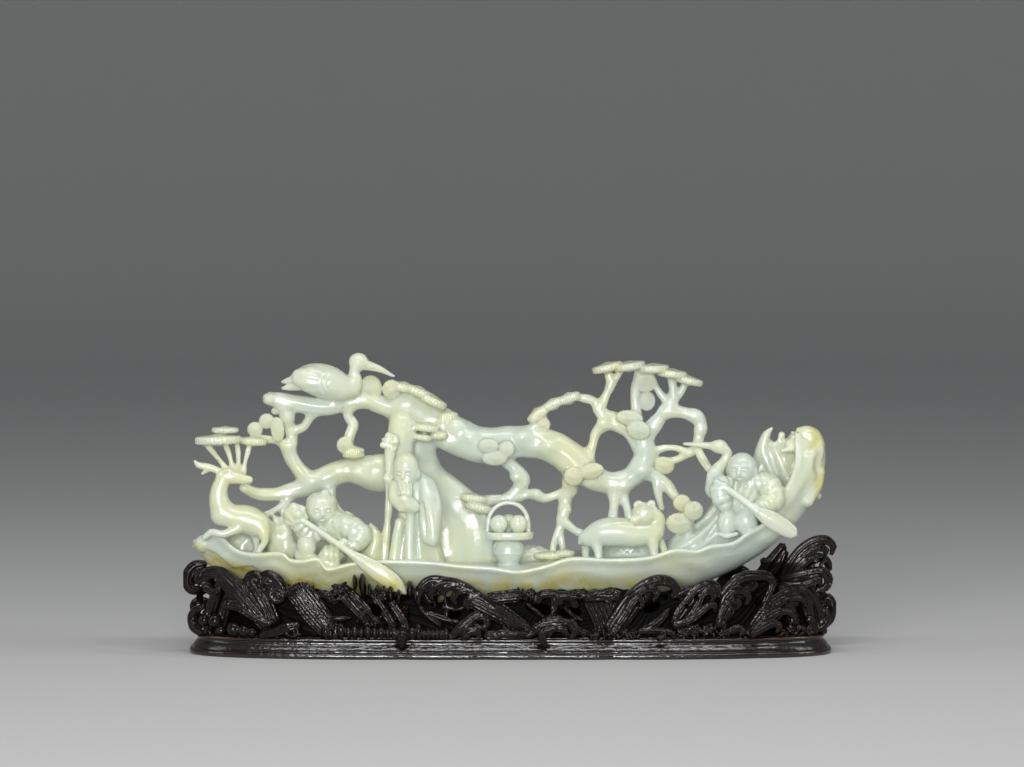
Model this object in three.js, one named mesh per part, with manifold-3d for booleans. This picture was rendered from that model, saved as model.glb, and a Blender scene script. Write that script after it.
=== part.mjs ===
// A pale celadon jade carving of a hollowed log raft, with its carved hardwood stand.
// On the raft stand an elder with a staff, two boys with oars, a deer, a lion dog, two cranes
// and a basket of peaches, under an openwork pine. The raft rests in the stand by its own weight.
// Millimetres, +Z up, +X towards the raised prow, the carving's front faces -Y.
// The origin is the middle of the stand's underside.
import * as THREE from "three";
import { mergeVertices } from "three/addons/utils/BufferGeometryUtils.js";
import Module from "manifold-3d";

const wasm = await Module();
wasm.setup();

// Driving dimensions
const raftLength = 316;
const seatHeight = 24;
const seatGap = 0.35;
const plinthOverhang = 2.5;
const plinthDepth = 96;
const plinthHeight = 10;
const plinthLobeDepth = 1.6;
const bankInset = 9;
const waveReach = 3.2;
const waveThickness = 8.4;
const wallOpening = 8;

// Both carvings are drawn for a raft 316 long with its belly 24 above the table, on a plinth 10 high.
const drawnLength = 316;
const drawnBelly = 24;
const drawnPlinth = 10;
const grow = raftLength / drawnLength;
const plinthLength = raftLength + 2 * plinthOverhang;

const jadeColour = 0xcdd6bd;
const woodColour = 0x1d120c;

// A closed mesh as a solid that can be joined and cut.
function solidFrom(geometry) {
  const plain = geometry.clone();
  plain.deleteAttribute("normal");
  plain.deleteAttribute("uv");
  const merged = mergeVertices(plain, 1e-4);
  return new wasm.Manifold(
    new wasm.Mesh({
      numProp: 3,
      vertProperties: new Float32Array(merged.attributes.position.array),
      triVerts: new Uint32Array(merged.index.array),
    }),
  );
}

const join = (solids) => wasm.Manifold.union(solids);
const unit = (x, y, z) => new THREE.Vector3(x, y, z).normalize();

// Moves every vertex of a geometry to the place that a function gives for it.
function reshape(geometry, place) {
  const position = geometry.attributes.position;
  const from = new THREE.Vector3();
  for (let i = 0; i < position.count; i++) {
    const to = place(from.fromBufferAttribute(position, i));
    position.setXYZ(i, to.x, to.y, to.z);
  }
  return geometry;
}

// A bar through points [x, y, z, radius] on a smooth curve. flat widens or narrows it along across.
const boughRadius = 3.4;
const twigRadius = 1.75;
function sweep(points, { sides, steps, across, flat = 1 } = {}) {
  const thickest = Math.max(...points.map((p) => p[3]));
  const corners = sides ?? (thickest > boughRadius ? 5 : thickest > twigRadius ? 4 : 3);
  const rings = steps ?? Math.max(1, Math.round((points.length - 1) * 0.7));
  const line = new THREE.CatmullRomCurve3(points.map(([x, y, z]) => new THREE.Vector3(x, y, z)));
  const radii = new THREE.CatmullRomCurve3(points.map(([, , , r]) => new THREE.Vector3(r, 0, 0)));
  const frames = line.computeFrenetFrames(rings, false);
  const tube = new THREE.CylinderGeometry(1, 1, 1, corners, rings);
  return reshape(tube, (v) => {
    const t = 0.5 - v.y;
    const ring = Math.round(t * rings);
    const tangent = line.getTangent(t);
    const radius = radii.getPoint(t).x;
    let normal = frames.normals[ring].clone();
    if (across) normal = across.clone().addScaledVector(tangent, -across.dot(tangent)).normalize();
    const binormal = tangent.clone().cross(normal);
    return line
      .getPoint(t)
      .addScaledVector(normal, v.x * radius * flat)
      .addScaledVector(binormal, v.z * radius);
  });
}

const bar = (points, options) => solidFrom(sweep(points, options));

// A rounded lump with its own half sizes, turned about Y by tilt and about Z by turn, in degrees.
function lump([x, y, z], [rx, ry, rz], { tilt = 0, turn = 0, around = 6, up = 4 } = {}) {
  const ball = new THREE.SphereGeometry(1, around, up);
  ball.rotateX(Math.PI / 2);
  ball.scale(rx, ry, rz);
  ball.rotateY(THREE.MathUtils.degToRad(-tilt));
  ball.rotateZ(THREE.MathUtils.degToRad(turn));
  ball.translate(x, y, z);
  return solidFrom(ball);
}

// A needle disc's middle is thicker than its edge by this much.
const lensSwell = 1.3;

// A pine's needle cluster, a lens-shaped disc. It faces the viewer where it is thinnest front to back.
function needles({ at, size, tilt = 0 }) {
  const disc = new THREE.SphereGeometry(1, 6, 2);
  const [across, deep, high] = size;
  if (high < deep) disc.rotateX(Math.PI / 2).scale(across, deep, lensSwell * high);
  else disc.scale(across, deep, high);
  disc.rotateY(THREE.MathUtils.degToRad(-tilt));
  disc.translate(...at);
  return solidFrom(disc);
}

// The raft, a hollowed log. Each station is a section across a line that rises into the prow:
// place on the line x and z, half width, keel below it, deck, front rim and back rim above it.
const raftStations = [
  { x: -157.5, z: 53.5, half: 5, keel: 2.5, deck: 1, front: 2, back: 2.5 },
  { x: -150, z: 52.5, half: 14, keel: 8, deck: 2.5, front: 6.2, back: 7 },
  { x: -136, z: 46.5, half: 21.5, keel: 10.2, deck: 4, front: 9.6, back: 10.5 },
  { x: -112, z: 39.5, half: 28.5, keel: 10.8, deck: 7.5, front: 10.2, back: 10.5 },
  { x: -60, z: 36, half: 33, keel: 11.8, deck: 9.4, front: 11.2, back: 11 },
  { x: 0, z: 35.8, half: 33.5, keel: 11.8, deck: 8.8, front: 10, back: 10.6 },
  { x: 48, z: 37, half: 33, keel: 12, deck: 10, front: 12, back: 12 },
  { x: 80, z: 41, half: 31.5, keel: 12, deck: 7, front: 10.2, back: 12 },
  { x: 105, z: 48.5, half: 30, keel: 12, deck: 5.5, front: 9.6, back: 13 },
  { x: 126, z: 61, half: 26, keel: 12, deck: 4.5, front: 8, back: 14.5 },
  { x: 139, z: 76, half: 21, keel: 11.5, deck: 3, front: 5, back: 16 },
  { x: 146, z: 94, half: 16, keel: 10, deck: 2, front: 4.5, back: 16 },
  { x: 146.5, z: 108, half: 9, keel: 6.5, deck: 1, front: 2.5, back: 6 },
];
const raftKeys = Object.keys(raftStations[0]);
const keelPower = 3.4;
const deckPower = 6;
const deckShare = 0.88;
const rimWaves = [
  { height: 0.9, length: 46, shift: 0.4 },
  { height: 0.6, length: 21, shift: 2.1 },
];

// A station between the stated ones, where t runs from the stern, 0, to the prow, 1.
const raftCurves = raftKeys.map(
  (key) => new THREE.CatmullRomCurve3(raftStations.map((s) => new THREE.Vector3(s[key], 0, 0))),
);
function raftStation(t) {
  return Object.fromEntries(raftKeys.map((key, i) => [key, raftCurves[i].getPoint(t).x]));
}

// The raft's section at t as a closed ring of points, grown outwards by swell below and at the sides.
function raftRing(t, swell, across) {
  const s = raftStation(t);
  const ahead = raftStation(Math.min(1, t + 0.002));
  const behind = raftStation(Math.max(0, t - 0.002));
  const along = unit(ahead.x - behind.x, 0, ahead.z - behind.z);
  const up = new THREE.Vector3(-along.z, 0, along.x);
  const rippleOf = (w) => w.height * Math.sin((s.x / w.length) * 2 * Math.PI + w.shift);
  const ripple = rimWaves.reduce((sum, w) => sum + rippleOf(w), 0);
  const fade = Math.sin(Math.PI * t) ** 0.5;
  const half = s.half + swell;
  const keel = s.keel + swell;
  const at = (share, height) =>
    new THREE.Vector3(s.x, 0, s.z).addScaledVector(up, height).add(new THREE.Vector3(0, share * half, 0));
  const rim = (share) => (share < 0 ? s.front + ripple * fade : s.back - ripple * fade);
  const ring = [];
  for (let i = 0; i <= across; i++) {
    const share = Math.sin((i / across - 0.5) * Math.PI);
    ring.push(at(share, -keel + (rim(share) + keel) * Math.abs(share) ** keelPower));
  }
  for (let i = across; i >= 0; i--) {
    const share = deckShare * Math.sin((i / across - 0.5) * Math.PI);
    const rise = Math.abs(share / deckShare) ** deckPower;
    ring.push(at(share, s.deck + (rim(share) - s.deck) * rise));
  }
  return ring;
}

function raftHull(swell = 0, across = 6, stations = 19) {
  const rings = [];
  for (let i = 0; i <= stations; i++) rings.push(raftRing(i / stations, swell, across));
  const round = rings[0].length;
  const skin = new THREE.CylinderGeometry(1, 1, 1, round, stations);
  const middle = (ring) => ring.reduce((sum, p) => sum.add(p), new THREE.Vector3()).divideScalar(round);
  const slice = (2 * Math.PI) / round;
  return solidFrom(
    reshape(skin, (v) => {
      const ring = rings[Math.round((0.5 - v.y) * stations)];
      if (Math.hypot(v.x, v.z) < 0.5) return middle(ring);
      const place = Math.round(Math.atan2(v.x, v.z) / slice + round) % round;
      return ring[round - 1 - place];
    }),
  );
}

// The prow's broken edge, worn into fingers, and the knots left on the log.
function prow() {
  return [
    bar([[125, 12, 84, 6], [127.5, 12, 98, 4.4], [128, 10, 106, 3], [131, 9, 111, 1.2]]),
    bar([[132.6, 12, 92, 5], [135, 10, 101, 3.6], [136.5, 9, 107.5, 2.2]]),
    bar([[140, 9, 96, 4.5], [139.5, 7, 104, 2.6], [142, 5, 107.5, 2]]),
    bar([[149, -2, 88, 6], [150, -3, 100, 6], [148, -3, 109, 4.4], [144.5, -4, 112, 2.4]], { sides: 6 }),
    bar([[142, -8, 82, 3.6], [147, -10, 92, 3.4], [152, -9, 101, 3.2], [153, -7, 105, 2.2]]),
    lump([137.5, -12, 88], [3.2, 2.6, 4.4], { tilt: 30 }),
    lump([-153, -6, 52], [5, 5, 5.5]),
  ];
}

// The pine: a root spread behind the elder, a trunk, and boughs that close into loops.
function pineTrunk() {
  return [
    bar([
      [-31, 9, 40, 21], [-35, 8, 58, 17.5], [-42, 8, 78, 12.5], [-47, 7, 95, 10.5],
      [-50, 6, 110, 10], [-53, 4, 124, 8],
    ], {
      sides: 8,
      steps: 4,
      across: unit(0, 1, 0),
      flat: 0.62,
    }),
    bar([
      [-50, 6, 121, 10], [-38, 6, 114, 9.6], [-27, 5, 107.5, 9.4], [-15, 4, 103, 9.2],
      [0, 4, 104.5, 8], [12, 4, 104.5, 8], [24, 4, 100.5, 8.2], [34, 4, 93, 7.4],
    ], {
      sides: 6,
      steps: 7,
    }),
    bar([
      [30, 4, 96, 7.4], [41, 4, 87, 6.2], [51, 4, 84, 5.5], [61, 4, 87, 5.7], [67, 4, 96.5, 5.8],
      [67, 3, 106, 5], [71.5, 3, 112.5, 3.9], [80, 2, 122.5, 3],
    ], {
      sides: 5,
      steps: 8,
    }),
    bar([
      [-48, 7, 91, 9], [-61, 6, 90, 7.4], [-71, 5, 92.5, 5.4], [-81, 5, 91, 4.6],
      [-92, 5, 85.5, 5.6], [-104, 4, 81.5, 5], [-115.5, 3, 78.6, 3.7], [-127, 1, 78.8, 3.3],
      [-133, -2, 82, 2.6],
    ], {
      sides: 5,
      steps: 7,
    }),
    bar([
      [-52, 4, 124, 6.4], [-60, 3, 122, 5.2], [-71, 2, 125.5, 4.4], [-81, 1, 124.5, 4.2],
      [-92, 0, 122.5, 4.6], [-104, 0, 123.5, 4.4], [-114, 0, 125, 4.4], [-121, 0, 126, 3],
    ], {
      sides: 5,
      steps: 5,
    }),
  ];
}

const pineBoughs = [
  // left loops, over the deer and the boy
  [
    [-100, 4, 84, 4.6], [-107, 4, 92, 3.6], [-111, 3, 100, 3.2], [-109.5, 3, 107, 2.7],
    [-111.5, 2, 114, 3], [-113, 1, 122, 4],
  ],
  [[-110, 3, 99, 2.6], [-116, 1, 105, 2.1], [-122.5, 0, 106, 2], [-129, -1, 106, 2.2]],
  [[-110, 3, 110, 2], [-104, 2, 112, 2.2], [-100, 1, 117.5, 2.3], [-95, 0, 122, 2.6]],
  [
    [-80, 1, 123, 2.8], [-81.3, 1, 118, 2.3], [-78.6, 1, 113.5, 2.8], [-80.5, 0, 108, 2.4],
    [-81.5, 0, 102, 3],
  ],
  [[-150, -6, 106, 1.8], [-145.4, -8, 98, 1.7], [-141.4, -12, 91, 2], [-140, -14, 88.5, 2]],
  [[-141, -6, 107, 1.8], [-141.5, -8, 98.2, 1.7], [-137, -13, 89, 2]],
  [[-134.8, -4, 105, 1.8], [-134, -8, 95, 1.7], [-134.5, -14, 87.5, 2]],
  [[-111, 3, 77.5, 2.2], [-113, 0, 70, 2], [-113, -5, 62, 2]],
  [[-112, 3, 74, 1.7], [-119, -4, 70, 1.6], [-124, -10, 68, 1.8]],
  [[-91, 5, 83, 3.4], [-90, 1, 77, 2.8], [-87, -6, 71, 2.4], [-81, -12, 68, 2]],
  // right loops, over the lion dog
  [
    [38, 4, 94, 3.4], [41, 4, 103, 2.3], [43.5, 4, 110, 2.4], [51, 4, 113.5, 3.4],
    [58.5, 4, 110, 3.6], [64, 4, 103, 3.4],
  ],
  [[16, 4, 108, 3], [16, 3, 116, 2.6]],
  [[34, 4, 127, 2], [41.5, 4, 125, 2.2], [44.5, 4, 119.5, 2.3], [52, 4, 117, 2.8], [62, 4, 113, 3]],
  [[45, 4, 121, 2.6], [47.5, 3, 127.5, 2.1], [50, 3, 133, 2], [48.4, 3, 141, 1.8]],
  [[49.5, 3, 131.5, 1.6], [55, 3, 140, 1.6]],
  [[63.5, 3, 115, 2.8], [62.5, 3, 128, 2.5], [65.5, 3, 140, 3.6]],
  [[79, 2, 121, 2.5], [81.2, 2, 129, 2.2], [80.6, 2, 138, 2]],
  [[81.5, 2, 125, 2], [86, 2, 131, 1.8], [88, 2, 136, 1.7]],
  [[79, 2, 124, 1.9], [73.5, 2, 131, 1.7], [70, 2, 138, 1.7]],
  [
    [77, 2, 120, 3.2], [87, 2, 119.3, 3], [94.5, 2, 115.5, 3.1], [94.5, 2, 108, 2.7],
    [93.5, 0, 102, 2.6], [97.5, -5, 94, 2.2], [102, -10, 89, 2.2],
  ],
  [[94, 1, 103, 1.8], [87, 2, 97.5, 1.9], [80, 3, 95, 1.7], [72, 4, 96, 1.9]],
  [[90, 1, 99, 1.4], [84, 2, 101.3, 1.5], [77, 3, 101.5, 1.6], [70, 4, 99, 1.9]],
  [[66, 4, 90, 4], [76, 3, 85.5, 2.9], [82, 0, 78, 2.6], [87, -4, 72, 2.4]],
  [[73, 3, 86, 2.3], [74, 1, 79, 2.1], [75.5, -2, 71.5, 1.3]],
  // struts down to the deck
  [
    [33, 4, 91, 5], [29.5, 4, 82, 3.4], [27, 4, 73, 2.9], [25.5, 2, 64, 2.6], [22.5, 0, 56.5, 2.4],
    [21.5, -2, 44, 2.6],
  ],
  [[25.5, 2, 66, 2.2], [31, -2, 61.5, 2], [38, -8, 58, 2]],
  [[24, 1, 58, 1.8], [26, -1, 44, 2]],
  [
    [31, 4, 80, 2.6], [25, 4, 76.8, 2.2], [18, 4, 75.6, 2.2], [11.3, 4, 77.4, 2.3], [4, 4, 76, 2.6],
    [-6, 3, 74.5, 3], [-20, 2, 73, 3.4],
  ],
  [[-5, 4, 97, 3.8], [2, 4, 88, 3.2], [4.6, 4, 84, 3.3], [0, 4, 79, 2.9], [-3, 4, 75, 2.9]],
  [[52, 4, 82, 4.2], [52, 2, 74, 2.6], [51, -4, 66, 2.4]],
  [[55, 4, 81, 3.4], [58, 1, 73, 2.2], [60, -5, 65, 2.2]],
];

const needleClusters = [
  // over the deer
  { at: [-146.5, -6, 107.4], size: [12, 7, 3.4], tilt: 2 },
  { at: [-136, -4, 107], size: [8, 6, 3], tilt: 2 },
  { at: [-143, -5, 110.6], size: [7, 5, 3] },
  { at: [-127.6, -2, 106], size: [6, 5, 3], tilt: 4 },
  { at: [-116.5, -1, 111.5], size: [4.4, 2.8, 7.4] },
  { at: [-126.5, 0, 110], size: [5, 3, 5] },
  { at: [-121.5, 0, 113.4], size: [5.4, 3, 5.6] },
  { at: [-81.5, -1, 102.5], size: [4.2, 3, 4.2] },
  { at: [-78, -1, 98], size: [5.8, 4, 3.6] },
  { at: [-117, 1, 126], size: [5, 4, 3.4] },
  // beside the crane and over the trunk
  { at: [-70, 1, 131.6], size: [5.8, 3, 6.6] },
  { at: [-59.5, 0, 131], size: [4.6, 4.2, 5] },
  { at: [-51.5, 0, 131], size: [6, 5, 4], tilt: -18 },
  { at: [-45, 0, 128.6], size: [8, 6, 4], tilt: -20 },
  { at: [-38.5, 0, 125.4], size: [8, 6, 3.6], tilt: -20 },
  { at: [-39.5, -5, 110], size: [8.4, 4, 2.8], tilt: -8 },
  { at: [-43, 0, 106], size: [6, 6, 3], tilt: -10 },
  { at: [-31.5, 2, 116.4], size: [5.4, 5, 5.4] },
  // on the long bough
  { at: [-10.2, -5.3, 104.2], size: [5.6, 3, 3.4] },
  { at: [-1.8, -5, 102], size: [3.8, 3, 4] },
  { at: [-7, -5, 98], size: [6.4, 3, 3.8] },
  { at: [14.5, 3, 118.5], size: [6.6, 3.6, 3], tilt: 45 },
  { at: [22.3, 3, 124], size: [6.4, 3.6, 3], tilt: 25 },
  { at: [31.5, 3, 127], size: [6.2, 3.6, 2.7], tilt: 14 },
  { at: [31, -2, 88], size: [6.2, 3.4, 4.2], tilt: 12 },
  { at: [40.3, -2, 90.2], size: [6, 3.6, 3.8], tilt: 8 },
  { at: [58, 0, 116.4], size: [6, 3.4, 3.5], tilt: -6 },
  { at: [64.5, -1, 110.6], size: [6, 3.4, 4.2], tilt: -10 },
  // the crown, five overlapping shingles
  { at: [49, 2, 141.5], size: [8.5, 8, 2.4], tilt: 8 },
  { at: [61.3, 2, 142], size: [8.6, 9, 2.4], tilt: -1 },
  { at: [72.8, 2, 140.6], size: [8.4, 9, 2.4], tilt: -5 },
  { at: [82, 2, 138.3], size: [8, 8.4, 2.4], tilt: -9 },
  { at: [89.7, 2, 135.4], size: [7.4, 7, 2.4], tilt: -13 },
  { at: [70, 2, 134], size: [4.4, 2.4, 5.4], tilt: 20 },
  { at: [69.8, 3, 125.4], size: [3.6, 2, 4.6] },
  { at: [76, 3, 93.4], size: [5, 2.4, 5] },
  // low on the struts and on the rocks
  { at: [-18.8, 0, 75.8], size: [7, 4, 3] },
  { at: [-10, -1, 72], size: [6.8, 4, 3] },
  { at: [18, -3, 48], size: [7, 4, 2.4] },
  { at: [25, -3, 49.5], size: [6, 4, 2.6] },
  { at: [86, -6, 68.5], size: [6, 4, 5.4] },
  { at: [87, -7, 74.2], size: [3.8, 3, 3.6] },
  { at: [92, -9, 71.6], size: [4.8, 3.4, 4.6] },
];

function pine() {
  return [
    ...pineTrunk(),
    ...pineBoughs.map((points) => bar(points)),
    ...needleClusters.map(needles),
  ];
}

// Rocks and broken bark standing on the deck, which the small figures and struts rise from.
function rocks() {
  return [
    bar([
      [84, 0, 48, 9], [95, 1, 56, 8.4], [103, 1, 66, 7], [108, 0, 77, 5],
    ], { sides: 6, across: unit(0, 1, 0), flat: 1.5 }),
    bar([[-115, -9, 46, 6], [-114, -9, 57, 6.4], [-116, -8, 65, 3.4]], { sides: 6 }),
    lump([-69, 10, 50], [10, 8, 8], { around: 6, up: 4 }),
    lump([-103, 8, 52], [12, 8, 9], { around: 6, up: 4 }),
    lump([-133, 4, 54], [9, 8, 8], { around: 6, up: 4 }),
    bar([[87, -5, 50, 7], [89, -8, 62, 5], [90, -9, 71, 4]]),
    bar([[121, 6, 70, 8], [123, 9, 80, 7.4], [125, 12, 90, 5.6]], { sides: 6 }),
  ];
}

// The elder: robe, hanging sleeves, raised brow, beard, and a staff with a gnarled head.
function elder() {
  return [
    bar([
      [-46.6, -13, 40, 14.4], [-46.6, -14, 54, 11], [-46.6, -14.5, 68, 9.8], [-47.4, -14, 80, 9],
      [-49.4, -13, 88, 5],
    ], {
      sides: 8,
      steps: 5,
      across: unit(0, 1, 0),
      flat: 0.8,
    }),
    lump([-52, -18, 93], [6.2, 6.2, 10], { around: 7, up: 5 }),
    bar([[-51.5, -22, 85, 3.8], [-50.5, -24, 79, 3], [-49.5, -24, 73, 1.4]]),
    lump([-51, -25, 74.4], [6.4, 4, 5], { tilt: -30 }),
    bar([
      [-43, -17, 85, 5.4], [-40, -21, 74, 6.4], [-38, -24, 62, 6.2], [-38.4, -25, 52, 4],
    ], { sides: 6, steps: 4 }),
    bar([
      [-63, -17, 44, 1.9], [-61.7, -17, 62, 1.8], [-60.5, -17, 78, 1.8], [-60, -15, 92, 2.4],
      [-60.5, -12, 101, 3],
    ]),
    lump([-61.3, -10, 104.6], [4.8, 4.6, 5.2]),
    bar([[-56, -4, 92, 7], [-55, -4, 104, 6.6], [-54, -2, 114, 7]]),
  ];
}

// A seated boy's head, tunic, knees and sleeves. Each boy is posed by its own points.
function leftBoy() {
  return [
    lump([-93.8, -20, 72.2], [7.6, 7.2, 7.4], { around: 7, up: 5 }),
    lump([-84, -18, 60], [10, 8, 9.5]),
    bar([[-88, -21, 65, 4.6], [-80, -24, 63.5, 6], [-75, -26, 59, 6.2], [-80, -28, 54, 3]], { sides: 6 }),
    bar([
      [-91, -20, 62, 4.4], [-99, -22, 60.5, 4.6], [-105, -24, 64, 4.8], [-107, -25, 70, 4],
      [-106.5, -25, 73, 2.6],
    ], { sides: 6 }),
    lump([-101.5, -23, 54.4], [4.8, 5, 6.2]),
    lump([-88.3, -24, 50.4], [7.4, 6, 5.4]),
  ];
}

function rightBoy() {
  return [
    lump([115, -18, 93], [7.4, 7.2, 7.6], { around: 7, up: 5 }),
    lump([116, -15, 77], [10, 8, 10]),
    bar([[120, -16, 85, 5.4], [128, -18, 84.5, 5.6], [130, -21, 77, 6.2], [124, -26, 72, 4]], { sides: 6 }),
    bar([[110, -17, 84, 4], [105, -20, 84.5, 4.6], [104.5, -22, 80, 5.6], [106, -22, 76, 4]], { sides: 6 }),
    bar([[112, -14, 72, 7.4], [112, -12, 58, 7.4]], { sides: 6 }),
    lump([108, -21, 65.5], [4.8, 5, 7.4]),
    lump([117, -22, 66], [5.4, 5, 7]),
  ];
}

// An oar: a round shaft, and a blade that is broad across and thin front to back.
function oar(shaft, blade, swell = 0) {
  return [
    bar(shaft.map(([x, y, z, r]) => [x, y, z, r + swell])),
    bar(blade.map(([x, y, z, r]) => [x, y, z, r + swell]), { sides: 6, across: unit(0, 1, 0), flat: 0.34 }),
  ];
}
const leftShaft = [[-106, -27, 69.5, 1.5], [-95, -29.5, 62.5, 1.6], [-82, -32.5, 54.8, 1.9]];
const leftBlade = [
  [-84, -32, 56, 1.8], [-74, -34.5, 50.6, 4.2], [-64, -36, 44, 5.6], [-56, -36, 36.5, 4.4],
  [-52.5, -35.5, 31.5, 1.4],
];
const rightShaft = [[102, -24, 86.5, 1.5], [113.8, -28, 78.6, 1.8], [122, -30.5, 72.4, 2]];
const rightBlade = [[120, -30, 73.8, 2.2], [129, -31.5, 67.6, 4.4], [137, -30, 61.6, 4.4]];
const oars = (swell) => [...oar(leftShaft, leftBlade, swell), ...oar(rightShaft, rightBlade, swell)];

function deer() {
  return [
    bar([
      [-147.6, -14, 75.4, 5], [-142, -14, 70.4, 6.6], [-134, -14, 67.4, 6.8], [-127, -14, 64.4, 6.2],
      [-121.5, -13, 59.6, 4.4],
    ], { sides: 6, steps: 4 }),
    bar([
      [-146, -14, 72, 6], [-149.4, -14, 78.4, 4.4], [-149.8, -14, 83.6, 3.7],
      [-144.6, -14, 88.6, 3.2],
    ], { sides: 6 }),
    bar([
      [-145, -14, 87.5, 2.8], [-139, -14, 88, 3.4], [-134, -14, 87.2, 2.6], [-129.6, -14, 87, 1.8],
    ], { sides: 6 }),
    bar([[-141, -13, 90, 1.7], [-148, -13, 92, 1.9], [-153, -13, 91.8, 1.6], [-156.5, -13, 94.6, 0.7]]),
    bar([[-151, -13, 92, 1.4], [-154, -13, 89.6, 0.7]], { sides: 4 }),
    bar([[-135, -18, 63, 2.4], [-143, -19, 60.5, 1.7], [-149.5, -18, 61, 1.6], [-152, -16, 57, 1.6]]),
    bar([[-121, -19, 61, 3.2], [-123.5, -19.5, 56, 1.8], [-126.5, -19, 47, 1.7]]),
    bar([[-127, -13, 60, 2.4], [-129.5, -13, 48, 1.6]]),
    lump([-142, -15.6, 90], [3.4, 1.6, 1.6], { tilt: 20, around: 4, up: 3 }),
  ];
}

function lionDog() {
  return [
    bar([
      [39, -16, 58, 4.6], [46, -16, 60.4, 7], [54.5, -16, 60.4, 7.4], [63, -16, 59.8, 6.6],
      [71.5, -16, 61, 5],
    ], { sides: 6, steps: 4 }),
    bar([[70.5, -15, 60, 5], [72.4, -15, 67, 4.4], [69, -15, 71.5, 4]], { sides: 6 }),
    lump([66, -17, 69.6], [5.6, 5.2, 5]),
    lump([61.8, -19, 67.6], [2.8, 3, 2.6], { around: 5, up: 3 }),
    lump([64.6, -16, 73.6], [2.6, 2.6, 2], { around: 4, up: 3 }),
    lump([69.6, -16, 73.8], [3, 2.6, 2.2], { around: 4, up: 3 }),
    bar([[42, -18, 57, 3.4], [43.5, -19, 52, 2.3], [45.5, -20, 44, 2.2]]),
    bar([[38.5, -13, 56, 2.6], [37.4, -13, 51, 2], [38.5, -13, 44, 2]]),
    bar([[70.5, -18, 57, 3.2], [71.3, -19, 45, 2.2]]),
    bar([[73, -13, 58, 2.8], [75.5, -13, 54, 1.9], [78, -13, 46, 1.8]]),
    bar([[39, -16, 58.5, 2], [35.8, -16, 57, 1.4], [35.4, -16, 54, 0.8]], { sides: 4 }),
  ];
}

function crane() {
  return [
    bar([
      [-109, -3, 134.4, 3.4], [-104, -3, 135.6, 6.6], [-96, -3, 135.8, 8.6], [-87, -3, 133.8, 7.2],
      [-78.5, -3, 130.4, 4.6],
    ], { sides: 7, steps: 5 }),
    bar([
      [-78.6, -3, 130, 4.6], [-76, -3, 134.6, 3.6], [-76.3, -3, 140, 2.9], [-76.8, -3, 144.5, 3],
    ], { sides: 6 }),
    lump([-76.2, -3, 145.6], [4.6, 3.8, 4.4]),
    bar([[-73.5, -3, 144, 2.6], [-66, -2.5, 141, 1.8], [-58.5, -1.5, 137.4, 0.7]]),
    bar([[-109, -3, 133, 2.4], [-113.6, -2, 134.6, 1]], { sides: 4 }),
  ];
}

function heron() {
  return [
    lump([103.6, -12, 103.2], [4.2, 3.2, 3.4], { around: 5, up: 4 }),
    bar([[101, -12, 103.4, 2.2], [93, -11, 104, 1.5], [86.4, -10, 104.4, 0.6]]),
    bar([
      [104.6, -12, 103, 3], [108, -12, 99.4, 2.5], [107, -12, 94.6, 2.5], [103.4, -13, 90, 3.6],
      [103, -14, 82, 6],
    ], { sides: 6 }),
  ];
}

// A covered jar with a tray of peaches and a hooped handle.
function peachBasket() {
  const middle = [-1.5, -16];
  const profile = [
    [0, 43], [5.2, 43], [5.2, 45.4], [4, 46.6], [7, 49], [7.7, 52.4], [6.6, 56.6], [11.8, 57.2],
    [11.8, 60.6], [0, 60.6],
  ];
  const jar = new THREE.LatheGeometry(profile.map(([r, z]) => new THREE.Vector2(r, z)), 9);
  jar.rotateX(Math.PI / 2);
  jar.translate(middle[0], middle[1], 0);
  const peaches = [[-5.8, -18], [3.6, -18], [-1, -11.5]];
  const hoop = [
    [-10.4, -16, 60, 1.2], [-9, -16, 68.5, 1.2], [-1.7, -16, 75.4, 1.2], [6, -16, 69.5, 1.2],
    [7.8, -16, 60, 1.2],
  ];
  return [
    solidFrom(jar),
    ...peaches.map(([x, y]) => lump([x, y, 64.6], [4.5, 4, 4.8])),
    bar(hoop, { steps: 5 }),
  ];
}

// Sets a solid drawn at the drawn length to the raft's real length and seat height.
const setOnSeat = (solid) =>
  solid.translate([0, 0, -drawnBelly]).scale(grow).translate([0, 0, seatHeight]);

const jadeGroup = setOnSeat(
  join([
    raftHull(),
    ...prow(),
    ...pine(),
    ...rocks(),
    ...elder(),
    ...leftBoy(),
    ...rightBoy(),
    ...oars(0),
    ...deer(),
    ...lionDog(),
    ...crane(),
    ...heron(),
    ...peachBasket(),
  ]),
);

// The plinth: a long lobed board with a moulded edge of foot, hollow and bead.
const plinthLobes = 12;
const plinthSquareness = 3.2;
function plinthPoint(angle, inset) {
  const scallop = 0.5 + 0.5 * Math.cos(plinthLobes * angle);
  const lobe = plinthLobeDepth * scallop * Math.abs(Math.sin(angle)) ** 0.3;
  const round = (value) => Math.sign(value) * Math.abs(value) ** (2 / plinthSquareness);
  return [
    (plinthLength / 2 - inset) * round(Math.cos(angle)),
    (plinthDepth / 2 - lobe - inset) * round(Math.sin(angle)),
  ];
}
function plinth() {
  const moulding = [[0, 0], [0, 0.28], [2.4, 0.5], [2.6, 0.76], [1.2, 0.88], [1.8, 1]];
  const profile = [
    new THREE.Vector2(0, 0),
    ...moulding.map(([inset, share]) => new THREE.Vector2(plinthDepth - inset, share * plinthHeight)),
    new THREE.Vector2(0, plinthHeight),
  ];
  const turned = new THREE.LatheGeometry(profile, 40);
  return solidFrom(
    reshape(turned, (v) => {
      const reach = Math.hypot(v.x, v.z);
      if (reach < 1) return new THREE.Vector3(0, 0, v.y);
      const [x, y] = plinthPoint(Math.atan2(-v.z, v.x), plinthDepth - reach);
      return new THREE.Vector3(x, y, v.y);
    }),
  );
}

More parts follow.
